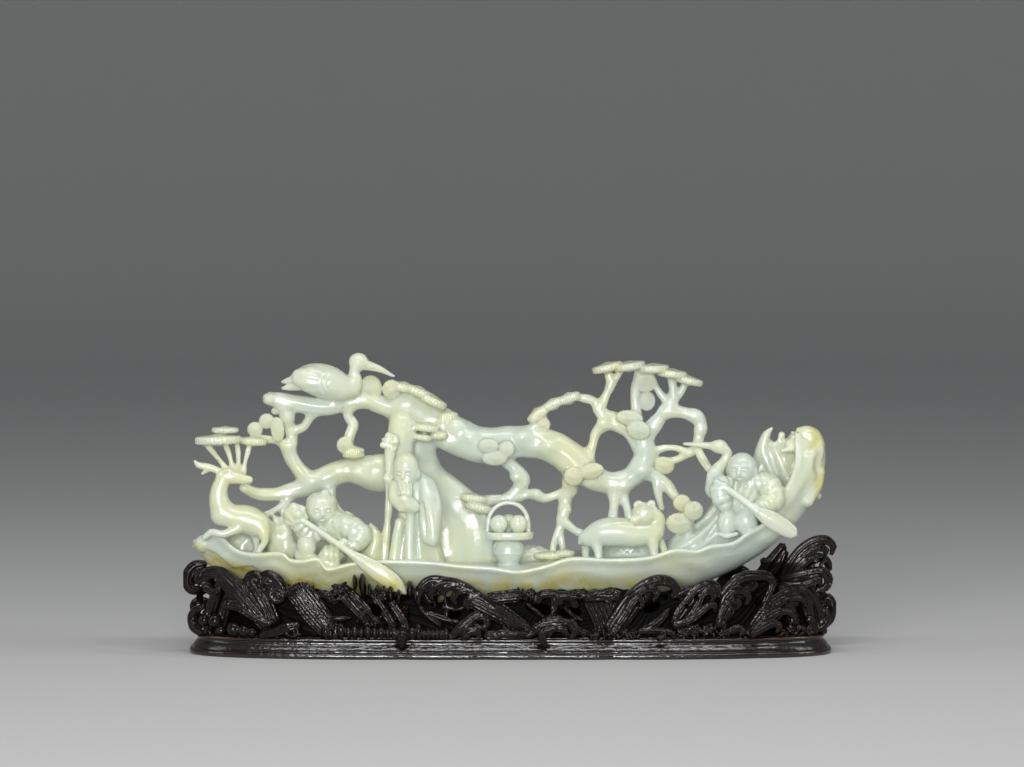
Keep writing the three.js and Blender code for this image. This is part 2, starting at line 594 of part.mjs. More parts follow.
// The stand's carving is set by its place along the plinth and its height above the table.
const lift = (seatHeight - plinthHeight) / (drawnBelly - drawnPlinth);
const onStand = (x, z) => [x * grow, plinthHeight + (z - drawnPlinth) * lift];
function edgeAt(x) {
  const along = Math.min(1, Math.abs((2 * x) / plinthLength));
  return (plinthDepth / 2) * (1 - along ** plinthSquareness) ** (1 / plinthSquareness);
}

// The bank that carries the raft, all round the seat. Its top is higher at the ends, from stern to prow.
const bankTops = [38, 38, 32, 30, 31, 32.5, 33, 32, 36, 39];
const bankTop = new THREE.CatmullRomCurve3(bankTops.map((z) => new THREE.Vector3(z, 0, 0)));
const bankFlare = 1.6;
function bank() {
  const wall = [[-bankFlare, 0], [0.6 * bankFlare, 1]];
  const profile = [
    new THREE.Vector2(0, 0),
    ...wall.map(([inset, share]) => new THREE.Vector2(plinthDepth - bankInset - inset, share)),
    new THREE.Vector2(0.4 * plinthDepth, 1),
    new THREE.Vector2(0, 1),
  ];
  const base = plinthHeight - 1;
  return solidFrom(
    reshape(new THREE.LatheGeometry(profile, 26), (v) => {
      const reach = Math.hypot(v.x, v.z);
      const angle = Math.atan2(-v.z, v.x);
      const inside = 0.4 * plinthDepth;
      const scale = reach > inside + 1 ? 1 : reach / plinthDepth;
      const [x, y] = plinthPoint(angle, reach > inside + 1 ? plinthDepth - reach : 0);
      const along = THREE.MathUtils.clamp(0.5 + (x * scale) / plinthLength, 0, 1);
      const [, top] = onStand(0, bankTop.getPoint(along).x);
      return new THREE.Vector3(x * scale, y * scale, base + v.y * (top - base));
    }),
  );
}

// A breaking wave: it rises from its foot to its crest and rolls over into a curl.
function wave({ foot, crest, roll, thick = 1, y, side = -1, sides = 5 }) {
  const lean = Math.sign(crest[0] - foot[0]) || 1;
  const between = (t, swing) => [
    foot[0] + (crest[0] - foot[0]) * t - lean * swing,
    foot[1] + (crest[1] - foot[1]) * t,
  ];
  const stem = [foot, between(0.6, 1.4)];
  const curl = [0, 80, 165, 250].map((degrees, i) => {
    const turn = THREE.MathUtils.degToRad(degrees);
    const radius = roll * (1 - 0.15 * i);
    return [crest[0] + lean * radius * Math.sin(turn), crest[1] - roll + radius * Math.cos(turn)];
  });
  const taper = [1, 0.84, 0.56, 0.46, 0.38, 0.28];
  const path = [...stem, ...curl].map(([x, z], i) => {
    const [px, pz] = onStand(x, z);
    const depth = y ?? side * Math.max(edgeAt(px) - bankInset + 0.6, 0.5 * (edgeAt(px) || 1));
    return [px, depth, pz, (waveThickness / 2) * thick * taper[i]];
  });
  return bar(path, { sides, steps: path.length - 1 });
}

// Waves of the front and of the plainer back: foot and crest as place along the stand and height.
const frontWaves = [
  { foot: [-121, 13], crest: [-147, 43.6], roll: 5, thick: 1.6 },
  { foot: [-111, 12], crest: [-126, 43.4], roll: 4.4, thick: 1.2 },
  { foot: [-107, 14], crest: [-119, 42.4], roll: 4, thick: 0.9 },
  { foot: [-88, 12], crest: [-106, 34.6], roll: 3.6, thick: 1.5 },
  { foot: [-78, 13], crest: [-85, 38], roll: 2.8, thick: 0.8 },
  { foot: [-69, 12], crest: [-73, 40], roll: 2.6, thick: 0.7 },
  { foot: [-55, 12], crest: [-59, 35], roll: 2.6, thick: 0.7 },
  { foot: [2, 15], crest: [-34, 41], roll: 7, thick: 1.8 },
  { foot: [-29, 12], crest: [-16, 23], roll: 3.4, thick: 0.8 },
  { foot: [8, 12], crest: [26, 20], roll: 4, thick: 0.9 },
  { foot: [50, 13], crest: [74, 40], roll: 4.6, thick: 1.5 },
  { foot: [48, 12], crest: [62, 31.5], roll: 3.4, thick: 0.9 },
  { foot: [80, 14], crest: [97, 38.6], roll: 4.4, thick: 1.4 },
  { foot: [101, 15], crest: [124, 42.6], roll: 5, thick: 1.6 },
  { foot: [98, 12], crest: [113, 34.6], roll: 3.6, thick: 0.9 },
  { foot: [117, 13], crest: [144, 35.4], roll: 4.2, thick: 1.2 },
  { foot: [114, 11], crest: [135, 24], roll: 3.2, thick: 0.9 },
];
const backWaves = [
  { foot: [-122, 11], crest: [-140, 41], roll: 5, thick: 1.2 },
  { foot: [-92, 11], crest: [-106, 37], roll: 4.4, thick: 1.1 },
  { foot: [-60, 11], crest: [-74, 34], roll: 4, thick: 1 },
  { foot: [-20, 11], crest: [-38, 35], roll: 4.4, thick: 1.1 },
  { foot: [24, 11], crest: [40, 33], roll: 4, thick: 1.1 },
  { foot: [58, 11], crest: [74, 36], roll: 4.4, thick: 1.1 },
  { foot: [92, 11], crest: [110, 39], roll: 4.6, thick: 1.2 },
].map((spec) => ({ ...spec, side: 1 }));
const waves = () => [...frontWaves, ...backWaves].map(wave);

// The end waves reach past the plinth and set the stand's overall length. reach is back from there.
const endReach = plinthLength / 2 + waveReach;
const endWaves = [
  { side: -1, y: -17, top: 43, foot: 28, roll: 5.4, thick: 1.5 },
  { side: -1, y: 8, top: 38, foot: 22, roll: 5, thick: 1.2 },
  { side: -1, y: -27, top: 25, foot: 20, roll: 4, thick: 0.9 },
  { side: 1, y: -20, top: 58, foot: 40, roll: 5.4, thick: 1.5 },
  { side: 1, y: 10, top: 47, foot: 26, roll: 5, thick: 1.2 },
  { side: 1, y: -25, top: 42, foot: 26, roll: 4.4, thick: 1 },
  { side: 1, y: -27, top: 24, foot: 18, roll: 3.6, thick: 0.9 },
];
function endCrests() {
  return endWaves.map(({ side, y, top, foot, roll, thick }) => {
    const crest = endReach / grow - roll - 0.3 * waveThickness;
    return wave({ foot: [side * (crest - foot), 11], crest: [side * crest, top], roll, thick, y });
  });
}

// Foam balls along the plinth's edge, below the tall waves.
const foamCount = 16;
const foamInset = 6.4;
function foam() {
  return Array.from({ length: foamCount }, (_, i) => {
    const [x, y] = plinthPoint(((i + 0.5) / foamCount) * 2 * Math.PI, foamInset);
    const size = 3.4 + 0.8 * Math.sin(5 * i);
    return lump([x, y, plinthHeight + 0.6 * size], [size, size, size], { around: 5, up: 3 });
  });
}

// Openings through the bank's walls, where the raft's belly shows. x is the place along the stand.
const frontOpenings = [-66, -30, -17, 56];
const backOpenings = [-46, 50];
function openings() {
  const drill = (x, side) => {
    const [px, pz] = onStand(x, drawnBelly + 2);
    const out = side * (plinthDepth / 2 + waveThickness);
    const radius = wallOpening / 2;
    return bar([[px, out, pz, radius], [px, side * 12, pz, radius]], { sides: 5, steps: 1 });
  };
  return [...frontOpenings.map((x) => drill(x, -1)), ...backOpenings.map((x) => drill(x, 1))];
}

const seatCutter = setOnSeat(join([raftHull(seatGap / grow), ...oars(seatGap / grow)]));
const tableTop = new THREE.BoxGeometry(2 * raftLength, 2 * raftLength, raftLength);
tableTop.translate(0, 0, -raftLength / 2);

const woodStand = join([plinth(), bank(), ...waves(), ...endCrests(), ...foam()])
  .subtract(join(openings()))
  .subtract(seatCutter)
  .subtract(solidFrom(tableTop));

// A solid as a named mesh. Crumbs that a cut has freed are left out.
function meshOf(name, solid, colour, roughness) {
  const [largest] = solid.decompose().sort((a, b) => b.volume() - a.volume());
  const { vertProperties, triVerts } = largest.getMesh();
  const geometry = new THREE.BufferGeometry();
  geometry.setAttribute("position", new THREE.BufferAttribute(new Float32Array(vertProperties), 3));
  geometry.setIndex(new THREE.BufferAttribute(new Uint32Array(triVerts), 1));
  geometry.computeVertexNormals();
  const finish = new THREE.MeshStandardMaterial({ color: colour, roughness, metalness: 0 });
  const mesh = new THREE.Mesh(geometry, finish);
  mesh.name = name;
  return mesh;
}

const group = new THREE.Group();
group.add(meshOf("jade_raft_group", jadeGroup, jadeColour, 0.2));
group.add(meshOf("wave_stand", woodStand, woodColour, 0.35));

export default group;
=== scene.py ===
import math

import bpy
import numpy as np
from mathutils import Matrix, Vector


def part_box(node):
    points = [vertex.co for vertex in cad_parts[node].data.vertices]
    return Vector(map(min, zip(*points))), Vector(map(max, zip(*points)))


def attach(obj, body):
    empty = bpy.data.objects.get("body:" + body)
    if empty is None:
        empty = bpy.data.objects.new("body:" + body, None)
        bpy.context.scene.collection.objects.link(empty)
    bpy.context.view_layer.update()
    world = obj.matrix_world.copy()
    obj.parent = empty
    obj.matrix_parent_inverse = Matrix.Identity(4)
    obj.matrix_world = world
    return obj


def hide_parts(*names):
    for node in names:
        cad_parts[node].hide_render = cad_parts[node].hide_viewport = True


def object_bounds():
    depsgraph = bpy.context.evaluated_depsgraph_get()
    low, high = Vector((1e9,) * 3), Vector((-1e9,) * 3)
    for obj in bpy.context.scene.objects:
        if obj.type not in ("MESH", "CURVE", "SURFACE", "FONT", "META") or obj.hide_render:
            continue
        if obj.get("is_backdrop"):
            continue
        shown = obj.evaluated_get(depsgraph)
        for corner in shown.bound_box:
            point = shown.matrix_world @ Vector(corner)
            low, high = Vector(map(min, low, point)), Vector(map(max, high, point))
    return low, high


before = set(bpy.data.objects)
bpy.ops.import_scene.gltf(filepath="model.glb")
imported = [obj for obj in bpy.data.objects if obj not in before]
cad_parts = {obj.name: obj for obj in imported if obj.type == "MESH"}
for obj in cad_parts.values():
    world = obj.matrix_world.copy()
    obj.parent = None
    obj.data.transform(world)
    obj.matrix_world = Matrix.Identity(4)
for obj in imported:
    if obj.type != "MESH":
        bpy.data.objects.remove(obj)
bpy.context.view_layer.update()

# The raft. A hollowed log with a raised, broken prow, cut from one pebble of pale celadon jade
# together with everything that stands on it. The whole carving is worked here as one block, in
# millimetres, by adding and cutting rounded forms, and is polished at the end.
MM = 0.001
FAR = 6.0
MARGIN = 3.0
jade_cell = 0.46


class Block:
    """A block to carve. It holds, at points a cell apart, the distance to the carved surface."""

    def __init__(self, low, high, cell):
        self.low = np.array(low, float)
        self.cell = cell
        self.count = np.ceil((np.array(high) - self.low) / cell).astype(int) + 1
        self.depth = np.full(self.count, FAR, np.float32)

    def window(self, low, high):
        first = np.floor((np.array(low) - self.low) / self.cell).astype(int)
        last = np.ceil((np.array(high) - self.low) / self.cell).astype(int) + 1
        first = np.clip(first, 0, self.count - 1)
        last = np.clip(last, first + 1, self.count)
        return tuple(slice(a, b) for a, b in zip(first, last))

    def axes(self, part):
        lines = [
            (self.low[i] + self.cell * np.arange(part[i].start, part[i].stop)).astype(np.float32)
            for i in range(3)
        ]
        return lines[0][:, None, None], lines[1][None, :, None], lines[2][None, None, :]

    def whole(self):
        return tuple(slice(0, n) for n in self.count)

    def add(self, part, distance, soft=1.6):
        here = self.depth[part]
        near = np.maximum(soft - np.abs(here - distance), 0)
        self.depth[part] = np.minimum(here, distance) - near * near / (4 * soft)

    def cut(self, part, distance, soft=0.6):
        here = self.depth[part]
        near = np.maximum(soft - np.abs(here + distance), 0)
        self.depth[part] = np.maximum(here, -distance) + near * near / (4 * soft)


def smooth_line(points, spacing=1.5):
    """Points on a smooth curve through the given ones. The first three columns are the place."""
    knots = np.array(points, float)
    ends = np.vstack([2 * knots[0] - knots[1], knots, 2 * knots[-1] - knots[-2]])
    made = [knots[:1]]
    for p0, p1, p2, p3 in zip(ends, ends[1:], ends[2:], ends[3:]):
        d0, d1, d2 = (
            max(np.linalg.norm((b - a)[:3]), 1e-4) ** 0.5 for a, b in ((p0, p1), (p1, p2), (p2, p3))
        )
        m1 = ((p1 - p0) / d0 - (p2 - p0) / (d0 + d1) + (p2 - p1) / d1) * d1
        m2 = ((p2 - p1) / d1 - (p3 - p1) / (d1 + d2) + (p3 - p2) / d2) * d1
        steps = max(1, int(round(np.linalg.norm((p2 - p1)[:3]) / spacing)))
        w = (np.arange(1, steps + 1) / steps)[:, None]
        made.append(p1 + m1 * w + (3 * (p2 - p1) - 2 * m1 - m2) * w**2 + (2 * (p1 - p2) + m1 + m2) * w**3)
    return np.vstack(made)


def bar(block, points, flat=1.0, soft=1.6, relief=None, cut=False):
    """Adds or cuts a bar through points (x, y, z, radius). flat is its depth over its width."""
    line = smooth_line(points)
    reach = line[:, 3].max() * max(1, flat) + MARGIN
    part = block.window(line[:, :3].min(0) - reach, line[:, :3].max(0) + reach)
    start = np.array([s.start for s in part])
    stop = np.array([s.stop for s in part])
    best = np.full(stop - start, FAR, np.float32)
    along = np.zeros_like(best) if relief else None
    across = np.zeros_like(best) if relief else None
    run = 0.0
    for a, b in zip(line[:-1], line[1:]):
        near = max(a[3], b[3]) * max(1, flat) + MARGIN
        small = block.window(np.minimum(a, b)[:3] - near, np.maximum(a, b)[:3] + near)
        inside = tuple(
            slice(max(s.start, p.start) - p.start, max(min(s.stop, p.stop), p.start + 1) - p.start)
            for s, p in zip(small, part)
        )
        placed = tuple(slice(i.start + p.start, i.stop + p.start) for i, p in zip(inside, part))
        x, y, z = block.axes(placed)
        sx, sy, sz = (b - a)[0], (b - a)[1] / flat, (b - a)[2]
        dx, dy, dz = x - a[0], (y - a[1]) / flat, z - a[2]
        t = np.clip((dx * sx + dy * sy + dz * sz) / (sx * sx + sy * sy + sz * sz + 1e-9), 0, 1)
        radius = a[3] + (b[3] - a[3]) * t
        gap = np.sqrt((dx - t * sx) ** 2 + (dy - t * sy) ** 2 + (dz - t * sz) ** 2) - radius
        here = best[inside]
        if relief:
            length = math.sqrt(sx * sx + sy * sy + sz * sz)
            level = math.hypot(sx, sz) + 1e-9
            aside = ((dz - t * sz) * sx - (dx - t * sx) * sz) / (level * radius)
            closer = gap < here
            along[inside] = np.where(closer, run + t * length, along[inside])
            across[inside] = np.where(closer, aside, across[inside])
            run += length
        best[inside] = np.minimum(here, gap)
    if relief:
        best -= relief(along, np.clip(across, -1.2, 1.2))
    (block.cut if cut else block.add)(part, best, soft)


def lump(block, centre, radii, tilt=0, turn=0, soft=1.6, relief=None, cut=False):
    """Adds or cuts a rounded lump, turned about Y by tilt and about Z by turn."""
    b, c = math.radians(-tilt), math.radians(turn)
    about_y = np.array([[math.cos(b), 0, math.sin(b)], [0, 1, 0], [-math.sin(b), 0, math.cos(b)]])
    about_z = np.array([[math.cos(c), -math.sin(c), 0], [math.sin(c), math.cos(c), 0], [0, 0, 1]])
    turned = about_z @ about_y
    half = np.sqrt(((turned * np.array(radii)) ** 2).sum(1)) + MARGIN
    part = block.window(np.array(centre) - half, np.array(centre) + half)
    x, y, z = block.axes(part)
    dx, dy, dz = x - centre[0], y - centre[1], z - centre[2]
    u, v, w = (dx * turned[0, i] + dy * turned[1, i] + dz * turned[2, i] for i in range(3))
    k0 = np.sqrt((u / radii[0]) ** 2 + (v / radii[1]) ** 2 + (w / radii[2]) ** 2)
    k1 = np.sqrt((u / radii[0] ** 2) ** 2 + (v / radii[1] ** 2) ** 2 + (w / radii[2] ** 2) ** 2)
    distance = k0 * (k0 - 1) / (k1 + 1e-6)
    if relief:
        distance = distance - relief(u, v, w)
    (block.cut if cut else block.add)(part, distance.astype(np.float32), soft)


# Each station of the log: place on its middle line x and z, half width, keel below the line, deck
# and back rim above it.
raft_stations = [
    (-157.5, 53.5, 5, 2.5, 1, 2.5),
    (-150, 52.5, 14, 8, 2.5, 7),
    (-136, 46.5, 21.5, 10.2, 4, 10.5),
    (-112, 39.5, 28.5, 10.8, 7.5, 10.5),
    (-60, 36, 33, 11.8, 9.4, 11),
    (0, 35.8, 33.5, 11.8, 8.8, 10.6),
    (48, 37, 33, 12, 10, 12),
    (80, 41, 31.5, 11.2, 7, 12),
    (105, 48.5, 30, 9.6, 5.5, 13),
    (126, 61, 26, 9.2, 4.5, 14.5),
    (139, 76, 21, 10, 3, 16),
    (146, 94, 16, 10, 2, 16),
    (146.5, 108, 9, 6.5, 1, 6),
]
# The wavy front rim as x and z.
front_rim = [
    (-158, 56), (-150.3, 60.6), (-146.3, 59.8), (-140.3, 55), (-135.3, 52.4), (-126.8, 51.8),
    (-119.3, 52.5), (-114.3, 51.6), (-110.3, 48.6), (-104.3, 48.2), (-96.3, 49.4), (-91.3, 44.4),
    (-87.8, 44.6), (-79.3, 47), (-60, 48.2), (-40.3, 47.6), (-25.3, 45.9),
    (-10.3, 44.9), (4.8, 43.2), (17.3, 45.8), (29.8, 49.5), (49.8, 48.9), (69.8, 50.1), (84.8, 54.4),
    (94.8, 53.9), (102.3, 56.8), (112.3, 58.2), (119.8, 63.2), (130, 70), (139, 80), (150, 98), (153, 110),
]
# A ledge of older skin on the front of the stern: below this line the jade lies deeper.
ledge_line = [(-156, 54.4), (-146.3, 50.2), (-138, 43.4), (-128.3, 44.8), (-120.8, 40), (-111.8, 35.4),
              (-106, 24)]
ledge_depth = 1.5
keel_power = 3.4
deck_power = 6
deck_share = 0.88
lip_round = 1.8
lip_swell = 0.5
spine = smooth_line(raft_stations, 1.0)


def raft_distance(block, swell=0.0, hollow=True):
    """Distance to the log over a whole block. swell grows it outwards, as the stand's seat needs."""
    x, y, z = block.axes(block.whole())
    px, pz = np.meshgrid(x.ravel(), z.ravel(), indexing="ij")
    nearest = np.full(px.shape, 1e9, np.float32)
    place = np.zeros(px.shape, int)
    for i, station in enumerate(spine):
        away = (px - station[0]) ** 2 + (pz - station[1]) ** 2
        closer = away < nearest
        nearest[closer] = away[closer]
        place[closer] = i
    direction = np.gradient(spine[:, :2], axis=0)
    direction /= np.linalg.norm(direction, axis=1)[:, None]
    ahead = (px - spine[place, 0]) * direction[place, 0] + (pz - spine[place, 1]) * direction[place, 1]
    at = np.clip(place + ahead, 0, len(spine) - 1)
    past = np.abs(place + ahead - at)
    numbers = np.arange(len(spine))
    mid_x, mid_z, half, keel, deck, back = (np.interp(at, numbers, spine[:, i]) for i in range(6))
    along_x = np.interp(at, numbers, direction[:, 0])
    along_z = np.interp(at, numbers, direction[:, 1])
    height = (pz - mid_z) * along_x - (px - mid_x) * along_z
    rim_x, rim_z = smooth_line([(a, 0, b) for a, b in front_rim], 1.0)[:, [0, 2]].T
    rim_at = np.interp(spine[:, 0], rim_x, rim_z)
    front_of = (rim_at - spine[:, 1]) * direction[:, 0]
    front_of = np.where(spine[:, 0] > 136, 5.0, front_of)
    front = np.interp(at, numbers, front_of)
    wide = lambda values: values.astype(np.float32)[:, None, :]
    half, keel, deck, back, front, height = map(wide, (half + swell, keel + swell, deck, back, front, height))
    share = np.abs(y) / half
    rim = np.where(y < 0, front, back)
    bottom = -keel + (rim + keel) * share**keel_power
    slope = (rim + keel) * keel_power * share ** (keel_power - 1) / half
    outer = (bottom - height) / np.sqrt(1 + slope**2)
    rise = np.minimum(share / deck_share, 1) ** deck_power
    top = deck + (rim - deck) * rise if hollow else rim
    lift = np.where(share < deck_share, (rim - deck) * deck_power * rise / np.maximum(np.abs(y), 1), 0)
    inner = (height - top) / np.sqrt(1 + lift**2) if hollow else height - top
    if hollow:
        ledge_x, ledge_z = np.array(ledge_line).T
        line = np.interp(x.ravel(), ledge_x, ledge_z)[:, None, None]
        below = np.clip((line - z) / 1.1, 0, 1) * np.clip((-104 - x) / 5, 0, 1) * (y < 0)
        outer = outer + ledge_depth * below * np.clip((height + keel) / 4, 0, 1)
        flute = np.sin(x / 5.2 + 0.5 * z + 2 * np.sin(x / 17)) * np.sin(x / 13 + 1)
        outer = outer - 0.3 * flute * np.clip(share * 2 - 0.6, 0, 1)
        drop = rim - height
        outer = outer - lip_swell * np.exp(-(((drop - 1.3) / 1.3) ** 2))
        outer = outer + 0.4 * np.exp(-(((drop - 4.6) / 1.8) ** 2))
    near = np.maximum(lip_round - np.abs(outer - inner), 0)
    made = np.maximum(outer, inner) + near**2 / (4 * lip_round)
    made = np.maximum(made, past.astype(np.float32)[:, None, :] - 1.5)
    return np.clip(made, -FAR, FAR).astype(np.float32)


jade = Block((-160.5, -40.2, 22), (157.5, 36.5, 152.5), jade_cell)
jade.depth[:] = raft_distance(jade)

# The prow is broken into fingers and lobes, and its hollow faces the viewer.
prow_bars = [
    [(125, 10, 84, 6), (126.4, 9, 96, 4.6), (127, 8, 103, 3.1), (128.6, 7.6, 108.2, 2.1), (131, 7, 110.8, 1)],
    [(130, 9, 97, 4), (133.6, 8, 103.6, 2.4), (136, 7, 107.8, 1.8)],
    [(132.6, 12, 92, 5), (137, 10, 99, 3.4), (138, 8, 102.6, 2)],
    [(138, 9, 98, 3.4), (141.2, 7, 103.6, 2.6), (142.4, 6, 106.6, 1.7)],
    [(140, 9, 92, 4.5), (141, 4, 98.6, 3.2), (144, 1, 103.4, 2.6)],
    [(150, -3, 107, 4), (148, -4, 100, 4.8), (148, -6, 91, 5), (145.6, -8, 81, 5)],
    [(146, -3, 104.4, 3), (140.6, -5, 101.8, 2), (135.8, -6, 100.6, 1.1)],
    [(150.5, 0, 86, 6), (152, -2, 97, 5.4), (151.4, -3, 105, 5.2), (148.6, -4, 109.6, 3.5),
     (144.2, -4, 110.6, 1.8)],
    [(143, -8, 80, 3.6), (148, -10, 90, 3.2), (153, -9, 99, 3), (154, -6, 104, 2.2)],
    [(128, -19, 69, 4), (137, -17, 78, 4), (144, -13, 88, 3.4), (148, -10, 96, 3)],
    [(148, -12, 76, 3), (153.4, -8, 84, 2.4), (155, -6, 90, 1.8)],
]
for points in prow_bars:
    bar(jade, points, soft=2.4)
lump(jade, (137, 6.4, 90), (8, 3.4, 13), tilt=10, soft=4,
     relief=lambda u, v, w: 0.7 * np.cos(0.95 * u + 0.2 * w))
bar(jade, [(147, -6, 97.4, 3.4), (144, -8, 95.8, 2.4), (141.4, -9, 93.6, 1.6), (140.6, -9, 91, 1)], soft=1)
for x, z, size in ((139.4, 103.6, 2.6), (143.6, 100.6, 2.8), (141.4, 107, 1.8), (154.2, 86, 1.8),
                   (153.4, 78, 2)):
    lump(jade, (x, -3.4, z), (size, 2.4, size), soft=1.2)
lump(jade, (153.6, -12.4, 96), (2.4, 3.4, 6.6), tilt=-6, soft=2.4, cut=True)
lump(jade, (132.6, 7.6, 107.8), (1.7, 6, 3.4), soft=0.8, cut=True)
lump(jade, (-153, -6, 54), (5, 5, 4.4), soft=2)

# The pine. Its root spreads behind the elder and its boughs close into loops over the whole raft.
# It is cut through from both sides and left a little knobbly where twigs were cut away.
trunk_bars = [
    ([(-31, 9, 40, 21), (-35, 8, 58, 17.5), (-42, 8, 78, 12.5), (-47, 7, 95, 10.5),
      (-50, 6, 110, 10), (-53, 4, 124, 8)], 0.62),
    ([(-36, 9, 84, 7), (-25, 8, 73, 8.6), (-17.4, 7, 62, 8.2), (-16, 7, 44, 9)], 0.8),
    ([(-50, 6, 121, 10), (-38, 6, 114, 9.6), (-27, 5, 107.5, 9.4), (-15, 4, 103, 9.2),
      (0, 4, 104.5, 8), (12, 4, 104.5, 8), (24, 4, 100.5, 8.2), (34, 4, 93, 7.4)], 0.9),
    ([(30, 4, 96, 7.4), (41, 4, 87, 6.2), (51, 4, 84, 5.5), (61, 4, 87, 5.7), (67, 4, 96.5, 5.8),
      (67, 3, 106, 5), (71.5, 3, 112.5, 3.9), (80, 2, 122.5, 3)], 0.9),
    ([(-48, 7, 90, 10.4), (-58, 6, 89, 10), (-68, 5, 88.8, 9.2), (-78, 5, 90.6, 7), (-85, 5, 89.4, 6.2),
      (-95, 5, 85.4, 6), (-104, 4, 81.5, 4.8), (-115.5, 3, 78.6, 3.7), (-127, 1, 78.8, 3.3),
      (-133, -2, 82, 2.6)], 0.9),
    ([(-52, 4, 124, 6.4), (-60, 3, 122, 5.2), (-71, 2, 125.5, 4.4), (-81, 1, 124.5, 4.2),
      (-92, 0, 122.5, 4.6), (-104, 0, 123.5, 4.2), (-114, 0, 125.4, 3.9), (-120.4, 0, 126.2, 3.3)], 0.9),
]
bough_bars = [
    # left loops, over the deer and the boy
    [(-100, 4, 84, 4.6), (-107, 4, 92, 3.6), (-111, 3, 100, 3.2), (-109.5, 3, 107, 2.7),
     (-111.5, 2, 114, 3), (-113, 1, 122, 4)],
    [(-110, 3, 99, 2.6), (-116, 1, 105, 2.1), (-122.5, 0, 106, 2), (-129, -1, 106, 2.2)],
    [(-110, 3, 110, 2), (-104, 2, 112, 2.2), (-100, 1, 117.5, 2.3), (-95, 0, 122, 2.6)],
    [(-80, 1, 123, 2.8), (-81.3, 1, 118, 2.3), (-78.6, 1, 113.5, 2.8), (-80.5, 0, 108, 2.4),
     (-81.5, 0, 102, 3)],
    [(-151.9, -6, 104, 1.5), (-147.4, -8, 99, 1.2), (-142.8, -12, 93.6, 1.2), (-140.4, -14, 90, 1.5)],
    [(-142.4, -6, 104.4, 1.5), (-140, -9, 98, 1.1), (-137.8, -13, 90.6, 1.5)],
    [(-136.4, -5, 103.4, 1.4), (-135.6, -9, 96, 1), (-136, -13.6, 88.6, 1.5)],
    [(-130.2, -4, 104, 1.4), (-132, -9, 96, 1), (-133.4, -13, 87.6, 1.4)],
    [(-111, 3, 77.5, 2.2), (-113, 0, 70, 2), (-113, -5, 62, 2)],
    [(-112, 3, 74, 1.7), (-119, -4, 70, 1.6), (-124, -10, 68, 1.8)],
    [(-91, 5, 83, 3.4), (-90, 1, 77, 2.8), (-87, -6, 71, 2.4), (-81, -12, 68, 2)],
    # right loops, over the lion dog
    [(38, 4, 94, 3.4), (41, 4, 103, 2.3), (43.5, 4, 110, 2.4), (51, 4, 113.5, 3.4),
     (58.5, 4, 110, 3.6), (64, 4, 103, 3.4)],
    [(16, 4, 108, 3), (16, 3, 116, 2.6)],
    [(34, 4, 127, 2), (41.5, 4, 125, 2.2), (44.5, 4, 119.5, 2.3), (52, 4, 117, 2.8), (62, 4, 113, 3)],
    [(45, 4, 121, 2.6), (47.5, 3, 127.5, 2.1), (50, 3, 133, 2), (48.4, 3, 141, 1.8)],
    [(49.5, 3, 131.5, 1.6), (55, 3, 140, 1.6)],
    [(63.5, 3, 115, 2.8), (62.5, 3, 128, 2.5), (65.5, 3, 140, 3.6)],
    [(79, 2, 121, 2.5), (81.2, 2, 129, 2.2), (80.6, 2, 138, 2)],
    [(81.5, 2, 125, 2), (86, 2, 131, 1.8), (88, 2, 136, 1.7)],
    [(79, 2, 124, 1.9), (73.5, 2, 131, 1.7), (70, 2, 138, 1.7)],
    [(77, 2, 120, 3.2), (87, 2, 119.3, 3), (94.5, 2, 115.5, 3.1), (94.5, 2, 108, 2.7),
     (93.5, 0, 102, 2.6), (97.5, -5, 94, 2.2), (102, -10, 89, 2.2)],
    [(94, 1, 103, 1.8), (87, 2, 97.5, 1.9), (80, 3, 95, 1.7), (72, 4, 96, 1.9)],
    [(90, 1, 99, 1.4), (84, 2, 101.3, 1.5), (77, 3, 101.5, 1.6), (70, 4, 99, 1.9)],
    [(66, 4, 90, 4), (76, 3, 85.5, 2.9), (82, 0, 78, 2.6), (87, -4, 72, 2.4)],
    [(73, 3, 86, 2.3), (74, 1, 79, 2.1), (75.5, -2, 71.5, 1.3)],
    # struts down to the deck
    [(33, 4, 91, 5), (29.5, 4, 82, 3.4), (27, 4, 73, 2.9), (25.5, 2, 64, 2.4), (22.2, 0, 56.5, 1.7),
     (20.4, -2, 44, 1.7)],
    [(25.5, 2, 66, 2.2), (31, -2, 61.5, 2), (38, -8, 58, 2)],
    [(25.2, 1, 60, 1.5), (27, -1, 44, 1.6)],
    [(31, 4, 80, 2.6), (25, 4, 78.6, 2.2), (17.3, 4, 76.2, 2.2), (10.6, 4, 78.2, 2.3), (2.3, 4, 76.5, 2.4),
     (-9.4, 3, 75.6, 2.6), (-20, 2, 74, 3.2)],
    [(-5, 4, 98, 3.8), (-1, 4, 94, 3.2), (3.9, 4, 90, 3.2), (6.6, 4, 84.8, 3.2), (2.3, 4, 79.8, 2.9),
     (-0.3, 4, 76.6, 2.9)],
    [(52, 4, 82, 4.2), (52, 2, 74, 2.6), (51, -4, 66, 2.4)],
    [(55, 4, 81, 3.4), (58, 1, 73, 2.2), (60, -5, 65, 2.2)],
]


def bark(along, across):
    """Soft swellings and long shallow grooves of old pine bark."""
    return 0.28 * np.sin(along / 3.1) * np.sin(along / 5.3 + 1) + 0.12 * np.cos(9 * across + along / 7)


for points, flat in trunk_bars:
    bar(jade, points, flat=flat, soft=4, relief=bark)
for points in bough_bars:
    bar(jade, points, soft=2.2, relief=bark)

